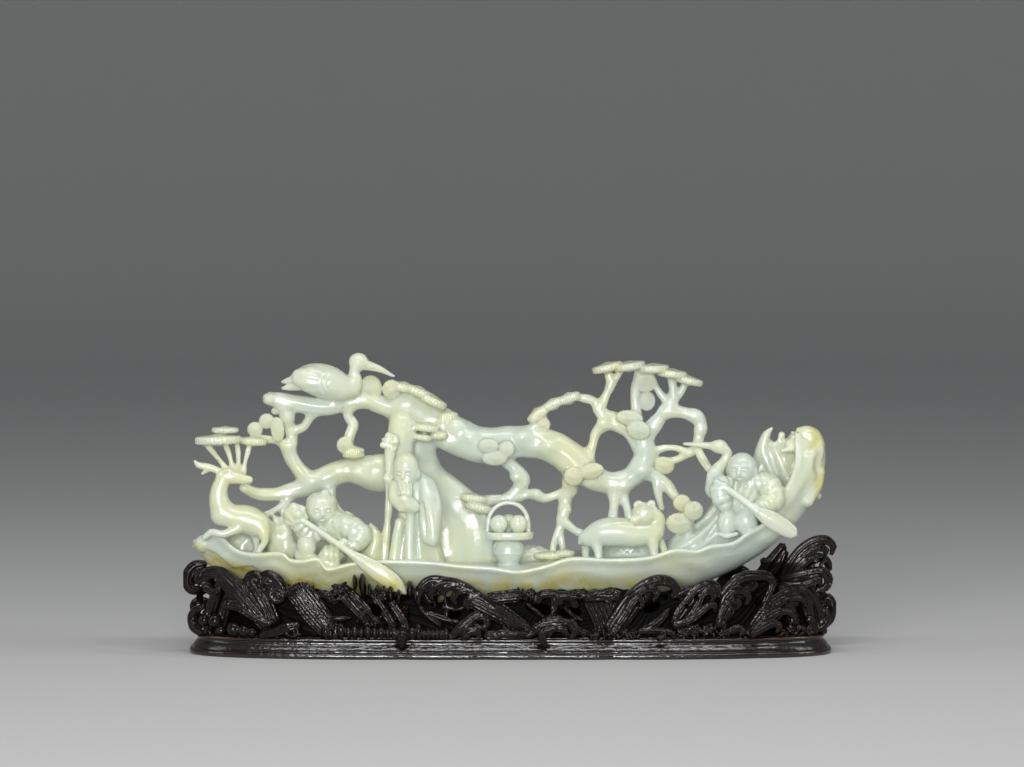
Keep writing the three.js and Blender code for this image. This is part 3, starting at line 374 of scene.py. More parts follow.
# Knots where twigs were cut away: x, y, z and size.
knots = [
    (-67, 1, 94, 2.2), (-86, 1, 90.6, 2), (-99, 0, 85.4, 2), (-73, -1, 125.4, 2), (-88, -3, 123.4, 1.9),
    (-27, -2, 113.6, 3), (-20, -3, 108, 2.4), (-14, -4, 99, 2.4), (6, -3, 107.4, 2.6), (19, -3, 103, 2.4),
    (-32, -1, 104, 2.6), (13, 2, 112, 2.2), (40, -1, 84.6, 2), (57, 0, 82.6, 2.2), (66, -1, 91, 2.4),
    (29, 0, 84.6, 2.2), (27.6, 1, 70.4, 2), (2.4, 1, 87, 2.2), (-14.4, 1, 73.6, 2.2), (13, 1, 78.8, 1.7),
    (92.6, 0, 117.8, 2), (95.6, 0, 111, 1.8), (46, 1, 114.6, 1.8), (-110, 0, 103.4, 1.9), (-111, -1, 117, 2),
]
for x, y, z, size in knots:
    lump(jade, (x, y + 1.4, z), (1.2 * size, 1.2 * size, size), soft=4)


def plate(block, place, size, tilt):
    """A needle cluster: a rounded plate, notched round its rim, with a raised middle."""
    a = math.radians(tilt)
    part = block.window(np.array(place) - max(size) - MARGIN, np.array(place) + max(size) + MARGIN)
    x, y, z = block.axes(part)
    dx, dz = x - place[0], z - place[2]
    u, w = dx * math.cos(a) + dz * math.sin(a), -dx * math.sin(a) + dz * math.cos(a)
    v = y - place[1]
    if size[2] <= size[1]:
        one, two, out, long_one, long_two, thick = u, v, w, size[0], size[1], size[2]
    else:
        one, two, out, long_one, long_two, thick = u, w, v, size[0], size[2], size[1]
    notches = int(round(3.2 * math.sqrt(long_one * long_two) / 1.15))
    ring = np.sqrt((one / long_one) ** 2 + (two / long_two) ** 2)
    steep = np.sqrt((one / long_one**2) ** 2 + (two / long_two**2) ** 2) + 1e-6
    teeth = np.cos(notches * np.arctan2(two / long_two, one / long_one))
    rim = ring * (ring - 1 - 0.012 * teeth) / steep
    face_height = thick * (0.86 - 0.3 * ring**2 + 0.22 * np.exp(-((ring / 0.3) ** 2)))
    face_height = face_height + 0.06 * teeth * np.clip(ring * 2 - 0.6, 0, 1)
    over_face = np.abs(out) - face_height
    edge = min(0.9, 0.5 * thick)  # how far the rim is rounded
    corner = np.sqrt(np.maximum(rim + edge, 0) ** 2 + np.maximum(over_face + edge, 0) ** 2)
    distance = corner + np.minimum(np.maximum(rim, over_face) + edge, 0) - edge
    block.add(part, distance.astype(np.float32), 0.6)


# Needle clusters: place, half sizes and tilt. Fine needles run out from the middle to the rim.
needle_clusters = [
    ((-145.9, -6, 106), (11.6, 7.4, 3), 2), ((-128.4, -3, 105.2), (6.8, 5.4, 2.6), -4),
    ((-142.5, -5, 110.9), (6.8, 5.4, 2), 0), ((-116.5, -1, 111), (3.4, 2.4, 6.3), 6),
    ((-127.8, 0, 111), (4, 2.6, 3.9), 0), ((-121.9, 0, 115.2), (4, 2.8, 3.9), 0),
    ((-117.6, 0, 120.2), (2.2, 1.8, 1.9), 0), ((-82.8, -1, 103.3), (4.2, 3.4, 4.2), 0),
    ((-78.6, -1, 99.4), (5.6, 4, 3.6), 0), ((-120.2, 0, 126.4), (3.7, 3.7, 3.4), 0),
    ((-70, 1, 131.6), (5.8, 3, 6.6), 0), ((-59.5, 0, 131), (4.6, 4.2, 5), 0),
    ((-53.4, 0, 132), (5.6, 5, 3), -12), ((-46, -1, 129.8), (7.4, 6, 2.9), -22),
    ((-39.4, -1, 125.6), (8, 6.4, 2.9), -26), ((-42, -5, 112), (6.4, 4.4, 2.5), -6),
    ((-43.6, -5, 107.2), (4.8, 4, 2.2), -8), ((-35.7, -4, 108.2), (4.4, 4, 2.5), 0),
    ((-31.5, 2, 116.4), (5.4, 5, 4.6), 0), ((-11, -5.3, 103.2), (5.2, 3, 3.8), 0),
    ((-1.9, -5, 101.5), (4, 3, 4.3), 0), ((-7.8, -5, 97), (6.4, 3, 3.8), 0),
    ((14, 3, 118.4), (6.2, 3.8, 3.4), 38), ((21.4, 3, 123.5), (5.8, 3.8, 3), 26),
    ((29.3, 3, 126.4), (6, 3.8, 3), 20), ((16.6, 2, 113.4), (3.4, 3, 3.4), 0),
    ((31.6, -2, 87.6), (5, 3.6, 4.7), 0), ((40.4, -2.4, 90.4), (6.2, 3.8, 4), 12),
    ((59.6, 0, 116.8), (6.8, 3.6, 3.9), -8), ((64, -1.4, 110.8), (6, 3.6, 4.7), -14),
    ((48.6, 1, 142), (7.8, 8, 2.6), 14), ((59.6, 1, 142.6), (8, 9, 2.7), 9),
    ((71.4, 1, 141.4), (8, 9, 2.7), 1), ((80.8, 1, 138.8), (7.6, 8.4, 2.6), -6),
    ((89, 1, 135.4), (7.4, 7, 2.5), -13), ((67.6, 2, 134.4), (5.6, 2.8, 4.8), 0),
    ((68.2, 3, 125.2), (4.4, 2.2, 5), 0), ((77.2, 2.6, 92.9), (5, 2.4, 4.3), -20),
    ((-18.4, 0, 76.4), (6.8, 4.4, 2.6), -8), ((-16, -1, 71.9), (7, 4.4, 2.8), -15),
    ((19, -3, 47.9), (7.6, 4, 2.3), 0), ((27.4, -3, 49), (5, 4, 2.3), 0),
    ((83.5, -11, 64.8), (6.2, 4, 5.2), 0), ((85.4, -10, 75), (4.5, 3.4, 4.2), 0),
    ((91.2, -12, 71.2), (4.9, 3.6, 4.8), 0),
]
for place, size, tilt in needle_clusters:
    plate(jade, place, size, tilt)

# Rocks and broken bark on the deck, which the small figures and the struts rise from.
rock_bars = [
    [(-115, -9, 46, 6), (-114, -9, 57, 6.4), (-116, -8, 65, 3.4)],
    [(86, -5, 50, 6.4), (87, -7, 61, 4.6), (88.4, -7, 71, 3.6)],
    [(121, 6, 70, 8), (123, 9, 80, 7.4), (125, 12, 90, 5.6)],
    [(-69, -17, 50, 5.8), (-68.4, -17, 58, 5), (-70, -16, 62.4, 2.6)],
]
rock_lumps = [
    ((-69, 10, 50), (10, 8, 8)), ((-103, 8, 52), (12, 8, 9)), ((-133, 4, 54), (9, 8, 8)),
    ((-113, -12, 58), (4, 2.6, 6)), ((-110, -13, 52), (5, 3, 4)), ((92, -9, 54), (6, 5, 5)),
    ((104, -8, 58), (5, 4, 7)), ((-75, -14, 48), (6, 5, 5)), ((60, 8, 50), (14, 7, 6)),
    ((10, 10, 47), (12, 6, 5)),
]
for points in rock_bars:
    bar(jade, points, soft=3, relief=lambda along, across: 0.5 * np.cos(5 * across + along / 4))
for place, size in rock_lumps:
    lump(jade, place, size, soft=3, relief=lambda u, v, w: 0.35 * np.sin(u) * np.cos(0.9 * w + v))
# A bank sweeps up from the deck behind the lion dog to the right boy, in long curved ridges.
bar(jade, [(74, -6, 45, 4), (84, -3, 48.6, 8), (95, 1, 56, 8.6), (103, 1, 66, 7), (108, 0, 77, 5)],
    flat=1.6, soft=2,
    relief=lambda along, across: 0.55 * np.cos(10 * across + along / 8))


# The elder stands in a long robe with hanging sleeves and leans on a gnarled staff. The folds are
# cut as grooves, and the face is a plain calm one with a high brow and a pointed beard.
def folds(count, depth, sway=0.0):
    """Grooves along a sleeve or robe, count of them across it."""
    return lambda along, across: depth * np.cos(math.pi * count * across + sway * np.sin(along / 5))


def over(head, side, up, out=1.0):
    """A point over a head: side and up are degrees from the middle of its face."""
    centre, radii, turn, nod = head
    a, b = math.radians(turn + side), math.radians(nod + up)
    away = (math.sin(a) * math.cos(b), -math.cos(a) * math.cos(b), math.sin(b))
    return tuple(c + out * r * d for c, r, d in zip(centre, radii, away))


def face(head, size):
    """Eyes, nose, mouth, chin and ears on a rounded head, for a face size across."""
    turn, nod = head[2], head[3]
    for side in (-24, 24):
        lump(jade, over(head, side, 4, 1.02), (0.2 * size, 0.13 * size, 0.11 * size), turn=turn + side,
             soft=0.5, cut=True)
        lump(jade, over(head, side, 3, 0.93), (0.15 * size, 0.1 * size, 0.075 * size), turn=turn + side,
             soft=0.3)
        lump(jade, over(head, 0.9 * side, 20, 0.95), (0.2 * size, 0.12 * size, 0.06 * size), turn=turn,
             tilt=-0.3 * side, soft=0.6)
        lump(jade, over(head, 1.1 * side, -22, 0.86), (0.2 * size, 0.18 * size, 0.18 * size), soft=0.9)
        lump(jade, over(head, 3.7 * side, 0, 0.98), (0.1 * size, 0.14 * size, 0.26 * size), turn=turn,
             soft=0.5)
    nose = [(*over(head, 0, 8, 0.94), 0.05 * size), (*over(head, 0, -8, 1.06), 0.09 * size)]
    bar(jade, nose, soft=0.6)
    lump(jade, over(head, 0, -30, 1.0), (0.16 * size, 0.1 * size, 0.035 * size), turn=turn, soft=0.4,
         cut=True)
    lump(jade, over(head, 0, -38, 0.96), (0.14 * size, 0.1 * size, 0.06 * size), turn=turn, soft=0.5)
    lump(jade, over(head, 0, -62, 0.9), (0.18 * size, 0.16 * size, 0.12 * size), turn=turn, soft=0.8)


bar(jade, [(-46.6, -13, 40, 14.6), (-46.6, -14, 54, 11.2), (-46.6, -14.5, 68, 9.8), (-47.4, -14, 80, 9),
           (-49.4, -13, 88, 5)], flat=0.8, soft=2.5, relief=folds(2.6, 0.6, 0.8))
bar(jade, [(-58, -20, 43, 3), (-57, -20.5, 54, 2.6), (-55, -21, 66, 2.4)], soft=1.6)
bar(jade, [(-50, -24, 42, 2.6), (-50, -23, 56, 2.4), (-49.6, -23, 70, 2.2)], soft=1.4)
bar(jade, [(-54, -23.4, 41, 0.6), (-53.6, -22.8, 55, 0.6), (-52.6, -22.6, 70, 0.5)], soft=0.6, cut=True)
bar(jade, [(-46, -25.6, 41, 0.6), (-46, -23.6, 52, 0.6), (-46.4, -23.2, 64, 0.5)], soft=0.6, cut=True)
bar(jade, [(-59.5, -17, 42, 2), (-52, -24.6, 41, 2), (-42, -24.6, 41, 2), (-34, -18, 42, 2)], soft=1.4)
bar(jade, [(-42, -17, 84, 5), (-40, -21, 76, 5.6), (-39.4, -23.6, 66, 5.6), (-39, -25, 59, 4.6)], soft=1.2,
    relief=folds(1.6, 0.35, 1.2))
bar(jade, [(-43.5, -25, 76, 0.7), (-42.4, -28, 67, 0.9), (-41.8, -29, 58, 0.7)], soft=0.8, cut=True)
lump(jade, (-51, -24.4, 75.3), (6.4, 4, 4), tilt=-25, soft=0.9,
     relief=lambda u, v, w: 0.16 * np.cos(1.6 * w + 0.3 * u))
lump(jade, (-52.4, -27, 78), (2.6, 2.2, 1.9), tilt=-20, soft=0.8)
bar(jade, [(-57, -19, 84, 3.2), (-57.4, -22, 78, 3.2), (-54, -25, 74, 2.6)], soft=1.2)
elder_head = ((-51.8, -18, 90.6), (6.5, 6.4, 7.6), -14, -6)
lump(jade, elder_head[0], elder_head[1], soft=1)
lump(jade, (-52, -18.2, 95), (5.7, 5.8, 5.8), soft=2)
face(elder_head, 10)
bar(jade, [(-52.8, -21.6, 84.8, 3.9), (-52.2, -23.4, 81.2, 3.5), (-51.4, -24.4, 77.6, 2.4),
           (-50.6, -24.8, 74.8, 1)],
    flat=0.8, soft=0.6, relief=lambda along, across: 0.3 * np.cos(12 * across + 0.5 * np.sin(along)))
for side in (-1, 1):
    bar(jade, [(*over(elder_head, 7 * side, -26, 1.05), 0.8),
               (*over(elder_head, 26 * side, -44, 1.0), 0.7)], soft=0.5)
bar(jade, [(-63, -17, 44, 2), (-62.3, -17, 50.8, 2), (-61.5, -17, 61.7, 1.9), (-60.4, -17, 73.3, 2),
           (-60.3, -15, 91.7, 2.1),
           (-60, -12, 101, 2.6)], soft=1, relief=bark)
lump(jade, (-59.8, -12, 105.2), (4.2, 3.2, 4.9), soft=1,
     relief=lambda u, v, w: 0.4 * np.sin(1.5 * u + w) * np.cos(1.1 * w - u))
lump(jade, (-61, -16.4, 87.6), (2.5, 2.4, 2.5), soft=1)
for x, z in ((-63.4, 104), (-60.6, 108.8), (-57, 106), (-58.4, 102)):
    lump(jade, (x, -13.4, z), (1.7, 1.8, 1.6), soft=0.6)
bar(jade, [(-56, -4, 92, 7), (-55, -4, 104, 6.6), (-54, -2, 114, 7)], soft=3, relief=bark)

# Two boys row the raft. Each sits with a bent knee and holds an oar in full sleeves, and each oar
# is one with the hands and the hull, so that no thin shaft stands free.
left_head = ((-94, -20, 72.6), (7.7, 7.5, 7.8), 8, -8)
lump(jade, left_head[0], left_head[1], soft=1)
face(left_head, 10)
lump(jade, (-93.8, -18.6, 76), (7.6, 7, 5.1), soft=0.8, relief=lambda u, v, w: 0.16 * np.cos(3.2 * u))
lump(jade, (-92, -21, 80.8), (2.1, 2.1, 1.7), soft=0.8)
lump(jade, (-83.4, -19, 62), (9.6, 7.4, 9.4), soft=1.4,
     relief=lambda u, v, w: 0.42 * np.cos(2.1 * np.hypot(u + 9, w + 8)))
bar(jade, [(-88, -21, 65, 4.6), (-80, -24, 63.8, 6), (-75, -26, 59.4, 6.2), (-79, -28.4, 54, 3.4)],
    soft=1.2, relief=lambda along, across: 0.24 * np.cos(along * 1.5 + 3 * across))
bar(jade, [(-91, -20, 62, 4.4), (-99, -22, 60.5, 4.6), (-104, -24, 65, 4.6), (-106, -25, 70, 4.2)],
    soft=1.2, relief=lambda along, across: 0.35 * np.cos(along * 2 + across))
lump(jade, (-106.4, -25.4, 69.4), (6, 3.2, 6.6), tilt=12, soft=0.9,
     relief=lambda u, v, w: 0.4 * np.cos(12 * np.arctan2(w + 5.4, u)))
lump(jade, (-105, -28.6, 70.6), (2.2, 2, 1.9), soft=0.8)
lump(jade, (-82.6, -31, 57), (2.4, 2.2, 2), soft=0.8)
lump(jade, (-101, -23.6, 54.6), (4.9, 5.2, 5.9), soft=1.2)
lump(jade, (-88.6, -24.4, 50.4), (6, 6, 4.8), tilt=-14, soft=1.2,
     relief=lambda u, v, w: 0.3 * np.cos(1.9 * u + 0.5 * w))
bar(jade, [(-104, -22, 50, 3.4), (-96, -25, 46.6, 3.4), (-88, -26, 45, 3.4)], soft=1.6)

right_head = ((115, -18, 93), (7.3, 7.2, 7.6), -16, -10)
lump(jade, right_head[0], right_head[1], soft=1)
face(right_head, 10)
lump(jade, (116, -15, 77), (10, 8, 10), soft=2, relief=lambda u, v, w: 0.4 * np.cos(1.6 * u - 0.7 * w))
bar(jade, [(120, -16, 85, 5.4), (128, -18, 84.5, 5.8), (130, -21, 77.6, 6.4), (124, -26, 73, 4.2)],
    soft=1.2, relief=lambda along, across: 0.22 * np.cos(along * 1.7 + 3 * across))
bar(jade, [(110, -17, 84, 4), (105, -20, 84.5, 4.8), (104.4, -22, 80, 5.6), (106, -22.6, 75.6, 4)],
    soft=1.2, relief=lambda along, across: 0.35 * np.cos(along * 2 - across))
lump(jade, (105.6, -25, 84.4), (2.3, 2.1, 2), soft=0.8)
lump(jade, (121.4, -29, 74.4), (2.5, 2.2, 2), soft=0.8)
bar(jade, [(112, -14, 72, 7.4), (112, -12, 58, 7.4)], soft=2.5)
lump(jade, (107.6, -21, 65.6), (5, 5.2, 7.6), soft=1.4)
lump(jade, (117, -22, 66.4), (5.6, 5.2, 7.2), soft=1.4)
bar(jade, [(103, -24, 60.6, 1), (107, -26.2, 59.6, 1.2), (112, -25.6, 60.6, 1)], soft=0.8)

left_shaft = [(-106, -27, 69.5, 1.5), (-95, -29.5, 62.5, 1.5), (-85, -32, 55.8, 1.6), (-77, -33.8, 50.4, 1.9)]
left_blade = [(-79, -33.4, 51.8, 1.8), (-72, -34.8, 47.1, 3.6), (-64.6, -36, 42.1, 4.6),
              (-57.8, -36, 37.3, 4.2), (-52, -35.6, 32.6, 1.5)]
right_shaft = [(102, -24, 86.5, 1.5), (113.8, -28, 78.6, 1.8), (122, -30.5, 72.4, 2)]
right_blade = [(120.6, -30.4, 72.8, 1.9), (127.4, -31.4, 69, 4.2), (133.6, -31, 65.2, 4.5),
               (138.4, -30, 62.2, 3.7)]


def blade_ridge(along, across):
    """A low rib down the middle of an oar's blade."""
    return 0.5 * np.exp(-((across / 0.22) ** 2)) - 0.1


for shaft, blade in ((left_shaft, left_blade), (right_shaft, right_blade)):
    bar(jade, shaft, soft=0.8)
    bar(jade, blade, flat=0.34, soft=0.9, relief=blade_ridge)

# The deer looks back over the stern with one foreleg raised, and stands against the rocks.
bar(jade, [(-143.4, -14, 69, 5.4), (-137.8, -14, 68, 6.4), (-130.3, -14, 66.4, 7.2), (-123.6, -14, 63, 5.7),
           (-119.8, -13, 59.8, 3.6)], soft=2)
bar(jade, [(-143.2, -14, 70.5, 6.2), (-145.2, -14, 77.2, 4.9), (-144.8, -14, 82.3, 4.2),
           (-142.5, -14, 87.4, 3.6)], soft=2)
bar(jade, [(-143.6, -14, 88, 3.1), (-139, -14.4, 88.2, 3.6), (-134, -14.6, 87.3, 2.7),
           (-130, -14.6, 86.7, 2)], soft=1)
bar(jade, [(-143.8, -13, 90.4, 1.7), (-150.3, -13, 93, 1.8), (-155.4, -13, 94, 1.5),
           (-157, -13, 95.8, 0.8)], soft=1)
bar(jade, [(-149.4, -13, 92.4, 1.5), (-153.4, -13, 89.8, 0.8)], soft=0.8)
bar(jade, [(-135.3, -18, 62.8, 2.7), (-142.8, -19, 60, 1.9), (-148.6, -18, 60.8, 1.8),
           (-152, -16, 58, 1.6)], soft=1.2)
bar(jade, [(-122.6, -18.6, 61, 3.6), (-122, -19.5, 56.4, 1.9), (-124.8, -19.4, 51.8, 1.6),
           (-125.6, -19, 46, 1.8)], soft=1.2)
bar(jade, [(-127, -15, 60, 2.4), (-126.2, -15, 53, 1.5), (-127.6, -15, 47, 1.6)], soft=1.2)
lump(jade, (-118.6, -13, 63.4), (1.8, 1.8, 2.4), tilt=20, soft=0.8)
lump(jade, (-141.6, -16.6, 90.4), (3.4, 1.5, 1.6), tilt=22, soft=0.7)
lump(jade, (-141.8, -17.6, 90.5), (2.3, 0.9, 0.8), tilt=22, soft=0.4, cut=True)
lump(jade, (-137.4, -17.1, 88.6), (1.0, 0.9, 0.8), soft=0.4)
lump(jade, (-130.2, -16, 86.9), (0.5, 0.8, 0.4), soft=0.3, cut=True)
bar(jade, [(-129, -16.2, 85.7, 0.35), (-133, -16.8, 85.6, 0.3)], soft=0.3, cut=True)
lump(jade, (-125, -17, 64.6), (5.4, 4.4, 5.6), soft=1.6)

# The lion dog turns its head to the viewer. Its mane is cut as small curls.
bar(jade, [(39, -16, 58, 4.6), (46, -16, 60.4, 7), (54.5, -16, 60.6, 7.4), (63, -16, 59.8, 6.6),
           (71.5, -16, 61, 5)], soft=2)
bar(jade, [(70.5, -15, 60, 5), (72.4, -15, 67, 4.6), (69, -15.6, 70, 4.4)], soft=1.6)
lump(jade, (66, -17.4, 69.4), (5.8, 5.4, 5.2), soft=1)
lump(jade, (61.8, -20, 67.2), (2.9, 3, 2.5), soft=0.8)
for x, z in ((63.4, 74.4), (69.8, 74.6)):
    lump(jade, (x, -16.4, z), (2.5, 2, 2.1), tilt=30, soft=0.7)
    lump(jade, (x, -18.2, z - 0.2), (1.2, 0.9, 1), soft=0.3, cut=True)
for x, z in ((63.4, 71), (67.4, 71.2)):
    lump(jade, (x, -22, z), (1.3, 0.9, 1), soft=0.4)
for i in range(9):
    turn = math.radians(-70 + 28 * i)
    lump(jade, (67 + 5.8 * math.cos(turn), -16.6, 68.6 + 5.6 * math.sin(turn)), (1.7, 1.8, 1.7), soft=0.5)
bar(jade, [(59.4, -22.4, 66.2, 0.35), (62, -22.8, 65.6, 0.4), (64.4, -22.2, 66, 0.3)], soft=0.3, cut=True)
for points in (
    [(42, -18, 57, 3.6), (43.5, -19.4, 52, 2.3), (44, -20, 47, 1.8), (45.5, -20.6, 43.6, 2.4)],
    [(38.5, -13, 56, 2.8), (37.4, -13, 51, 2), (38.5, -13, 43, 2)],
    [(70.5, -18, 57, 3.4), (71.3, -19, 50, 2.1), (71.6, -19.6, 44, 2.3)],
    [(73, -13, 58, 2.8), (75.5, -13, 54, 1.9), (78, -13, 45, 1.9)],
    [(39, -16, 58.5, 2.2), (35.8, -16, 58.6, 1.8), (34.6, -16, 55.6, 1.2)],
):
    bar(jade, points, soft=1.2)
bar(jade, [(41, -20, 62.6, 0.4), (54, -21.6, 66, 0.4), (66, -19, 64.4, 0.4)], soft=0.5)

# The crane sits in the crown of the pine and the heron stoops beside the right boy. Wings are
# cut with overlapping rows of feathers.
def feathers(u, v, w):
    """Long quills fanning back from the shoulder, with a row of short ones over their roots."""
    from_shoulder = np.hypot(u - 9, w)
    quills = 0.45 * np.abs(np.sin(13 * np.arctan2(w, 13 - u))) * np.clip((from_shoulder - 7) / 3, 0, 1)
    short = 0.24 * np.cos(2.6 * from_shoulder) * (from_shoulder < 7.6)
    return quills + short + 0.34 * np.clip(8.4 - from_shoulder, 0, 1)


bar(jade, [(-106, -3, 136.6, 4), (-99.6, -3, 136.6, 7.4), (-92, -3, 135, 8.6), (-84.4, -3, 132.2, 6.8),
           (-79.2, -3, 132.6, 4.5)],
    soft=1.6)
lump(jade, (-96.6, -7.4, 135.6), (12.6, 4.6, 6.4), tilt=-12, soft=0.5, relief=feathers)
for z in (132.4, 135.6):
    bar(jade, [(-106, -4.4, z + 0.8, 2.6), (-110.6, -3.8, z, 1.8), (-113.8, -3, z - 0.6, 0.8)], soft=0.6)
bar(jade, [(-79.5, -3, 131.6, 4.6), (-77.4, -3, 135.6, 3.4), (-78, -3, 139.4, 2.8), (-77, -3, 143, 3.2)],
    soft=1.6)
lump(jade, (-75.9, -3, 145), (4.9, 3.9, 4.5), soft=0.9)
bar(jade, [(-73, -3, 143.6, 2.7), (-66, -2.5, 141.6, 1.8), (-58.4, -1.5, 137.8, 0.7)], soft=0.8)
lump(jade, (-74.8, -6.5, 146), (0.9, 0.7, 0.8), soft=0.3)
bar(jade, [(-72.8, -5.4, 142.8, 0.3), (-65.6, -4.2, 140.8, 0.3)], soft=0.3, cut=True)

lump(jade, (103.6, -12, 103.2), (4.2, 3.2, 3.4), soft=0.8)
bar(jade, [(101, -12, 103.4, 2), (93, -11, 104, 1.3), (86.4, -10, 104.4, 0.7)], soft=0.8)
bar(jade, [(104.6, -12, 103, 2.9), (108, -12, 100, 2.5), (106.4, -12, 95.6, 2.6), (102.6, -13, 90.4, 3.8),
           (102.4, -14, 82.4, 5.8)], soft=1.4)
lump(jade, (101.8, -15, 86.4), (4.4, 3.4, 6.8), soft=0.6,
     relief=lambda u, v, w: 0.3 * np.abs(np.sin(1.5 * u + 0.3 * w)))
lump(jade, (102.6, -15, 103.8), (0.8, 0.6, 0.7), soft=0.3)

# The covered jar of peaches has a waisted foot, a broad tray and a double hooped handle.
jar_middle = (-0.9, -16)
jar_profile = [(0, 43), (5.8, 43), (5.4, 45), (5, 46), (6.5, 48), (7.6, 50.4), (7.9, 52.6), (7.3, 55),
               (5.8, 57),
               (11.8, 57.3), (12.3, 58.4), (12.3, 60.9), (0, 60.9)]
reach = np.array([13.0, 13.0, 11.0])
jar_part = jade.window(np.array([*jar_middle, 51.5]) - reach, np.array([*jar_middle, 51.5]) + reach)
x, y, z = jade.axes(jar_part)
from_axis = np.sqrt((x - jar_middle[0]) ** 2 + ((y - jar_middle[1]) / 0.92) ** 2)
outline = np.array(jar_profile)
jar_radius = np.interp(z, outline[1:-1, 1] + 1e-3 * np.arange(len(outline) - 2), outline[1:-1, 0])
jar_distance = np.maximum(from_axis - jar_radius, np.maximum(43 - z, z - 60.9))
jade.add(jar_part, jar_distance.astype(np.float32), 0.8)
for x, y in ((-5.7, -18.6), (3.9, -18.6), (-0.9, -12.5)):
    lump(jade, (x, y, 65), (4.5, 4.3, 4.6), soft=0.4)
    bar(jade, [(x + 0.6, y - 4.4, 61.6, 0.35), (x + 1.2, y - 4.2, 65, 0.4), (x + 0.8, y - 2.4, 69.2, 0.5)],
        soft=0.4, cut=True)
for deep in (-17.4, -14.8):
    bar(jade, [(-11.5, deep, 60, 1.05), (-10.7, deep, 68.2, 1.05), (-6.9, deep, 73.6, 1.05),
               (-1.1, deep, 75.5, 1.05),
               (4.8, deep, 73.6, 1.05), (8.4, deep, 68.2, 1.05), (9, deep, 60, 1.05)], soft=0.6)
ring = [(jar_middle[0] + 7.4 * math.cos(a), jar_middle[1] + 6.8 * math.sin(a), 50.6, 0.6)
        for a in np.linspace(0, 2 * math.pi, 13)]
bar(jade, ring, soft=0.4)


# The carving is polished all over. Its form is taken from the block as one closed mesh.
def skin_of(block):
    """Corner points and four-sided faces of a block's surface, one point in each cell it crosses."""
    inside = block.depth < 0
    cells = block.count - 1
    stride = np.array([cells[1] * cells[2], cells[2], 1])
    owners = []
    crossings = []
    flips = []
    for axis in range(3):
        head = tuple(slice(0, -1) if i == axis else slice(None) for i in range(3))
        tail = tuple(slice(1, None) if i == axis else slice(None) for i in range(3))
        found = np.argwhere(inside[head] != inside[tail])
        d0 = block.depth[tuple(found.T)]
        step = np.zeros(3, int)
        step[axis] = 1
        d1 = block.depth[tuple((found + step).T)]
        point = found.astype(np.float32)
        point[:, axis] += d0 / (d0 - d1)
        one, two = (i for i in range(3) if i != axis)
        around = np.zeros((4, 3), int)
        around[1, one] = around[2, one] = -1
        around[2, two] = around[3, two] = -1
        owners.append((found[:, None, :] + around[None]) @ stride)
        crossings.append(point)
        flips.append((d0 < 0) ^ (axis == 1))
    owners = np.vstack(owners)
    crossings = np.vstack(crossings)
    flips = np.concatenate(flips)
    used = np.zeros(int(np.prod(cells)), bool)
    used[owners.ravel()] = True
    number = np.cumsum(used, dtype=np.int64) - 1
    corners = number[owners]
    total = int(number[-1]) + 1
    flat = corners.ravel()
    count = np.bincount(flat, minlength=total)
    places = np.stack(
        [np.bincount(flat, weights=np.repeat(crossings[:, i], 4), minlength=total) / count
         for i in range(3)], axis=1
    )
    corners[~flips] = corners[~flips][:, ::-1]
    return places * block.cell + block.low, corners


def new_mesh(name, places, faces):
    """A Blender mesh from points in metres and faces that all have as many corners."""
    mesh = bpy.data.meshes.new(name)
    sides = faces.shape[1]
    mesh.vertices.add(len(places))
    mesh.vertices.foreach_set("co", places.astype(np.float32).ravel())
    mesh.loops.add(faces.size)
    mesh.loops.foreach_set("vertex_index", faces.astype(np.int32).ravel())
    mesh.polygons.add(len(faces))
    mesh.polygons.foreach_set("loop_start", np.arange(0, faces.size, sides, dtype=np.int32))
    mesh.update(calc_edges=True)
    mesh.validate()
    return mesh


def mesh_arrays(mesh):
    """Places and triangles of a mesh, as arrays."""
    places = np.empty(len(mesh.vertices) * 3, np.float32)
    mesh.vertices.foreach_get("co", places)
    mesh.calc_loop_triangles()
    corners = np.empty(len(mesh.loop_triangles) * 3, np.int32)
    mesh.loop_triangles.foreach_get("vertices", corners)
    return places.reshape(-1, 3), corners.reshape(-1, 3)


def largest_body(places, faces):
    """Only the largest connected body of a mesh, without crumbs."""
    label = np.arange(len(places))
    pairs = np.vstack([faces[:, [0, 1]], faces[:, [1, 2]], faces[:, [2, 0]]])
    while True:
        low = np.minimum(label[pairs[:, 0]], label[pairs[:, 1]])
        new = label.copy()
        np.minimum.at(new, pairs[:, 0], low)
        np.minimum.at(new, pairs[:, 1], low)
        new = new[new]
        if np.array_equal(new, label):
            break
        label = new
    kept = label == np.bincount(label).argmax()
    number = np.cumsum(kept) - 1
    return places[kept], number[faces[kept[faces[:, 0]]]]


def carved_piece(name, block, most_faces):
    """A closed piece from a block, with at most so many triangles."""
    places, faces = skin_of(block)
    rough = bpy.data.objects.new(name + "_rough", new_mesh(name + "_rough", places * MM, faces))
    bpy.context.scene.collection.objects.link(rough)
    thin = rough.modifiers.new("thin", "DECIMATE")
    thin.ratio = min(1.0, most_faces / (2 * len(faces)))
    graph = bpy.context.evaluated_depsgraph_get()
    fine = bpy.data.meshes.new_from_object(rough.evaluated_get(graph))
    places, faces = largest_body(*mesh_arrays(fine))
    bpy.data.objects.remove(rough)
    mesh = new_mesh(name, places, faces)
    mesh.polygons.foreach_set("use_smooth", np.ones(len(mesh.polygons), bool))
    piece = bpy.data.objects.new(name, mesh)
    bpy.context.scene.collection.objects.link(piece)
    return piece


def vertex_normals(mesh):
    normals = np.empty(len(mesh.vertices) * 3, np.float32)
    mesh.vertex_normals.foreach_get("vector", normals)
    return normals.reshape(-1, 3)


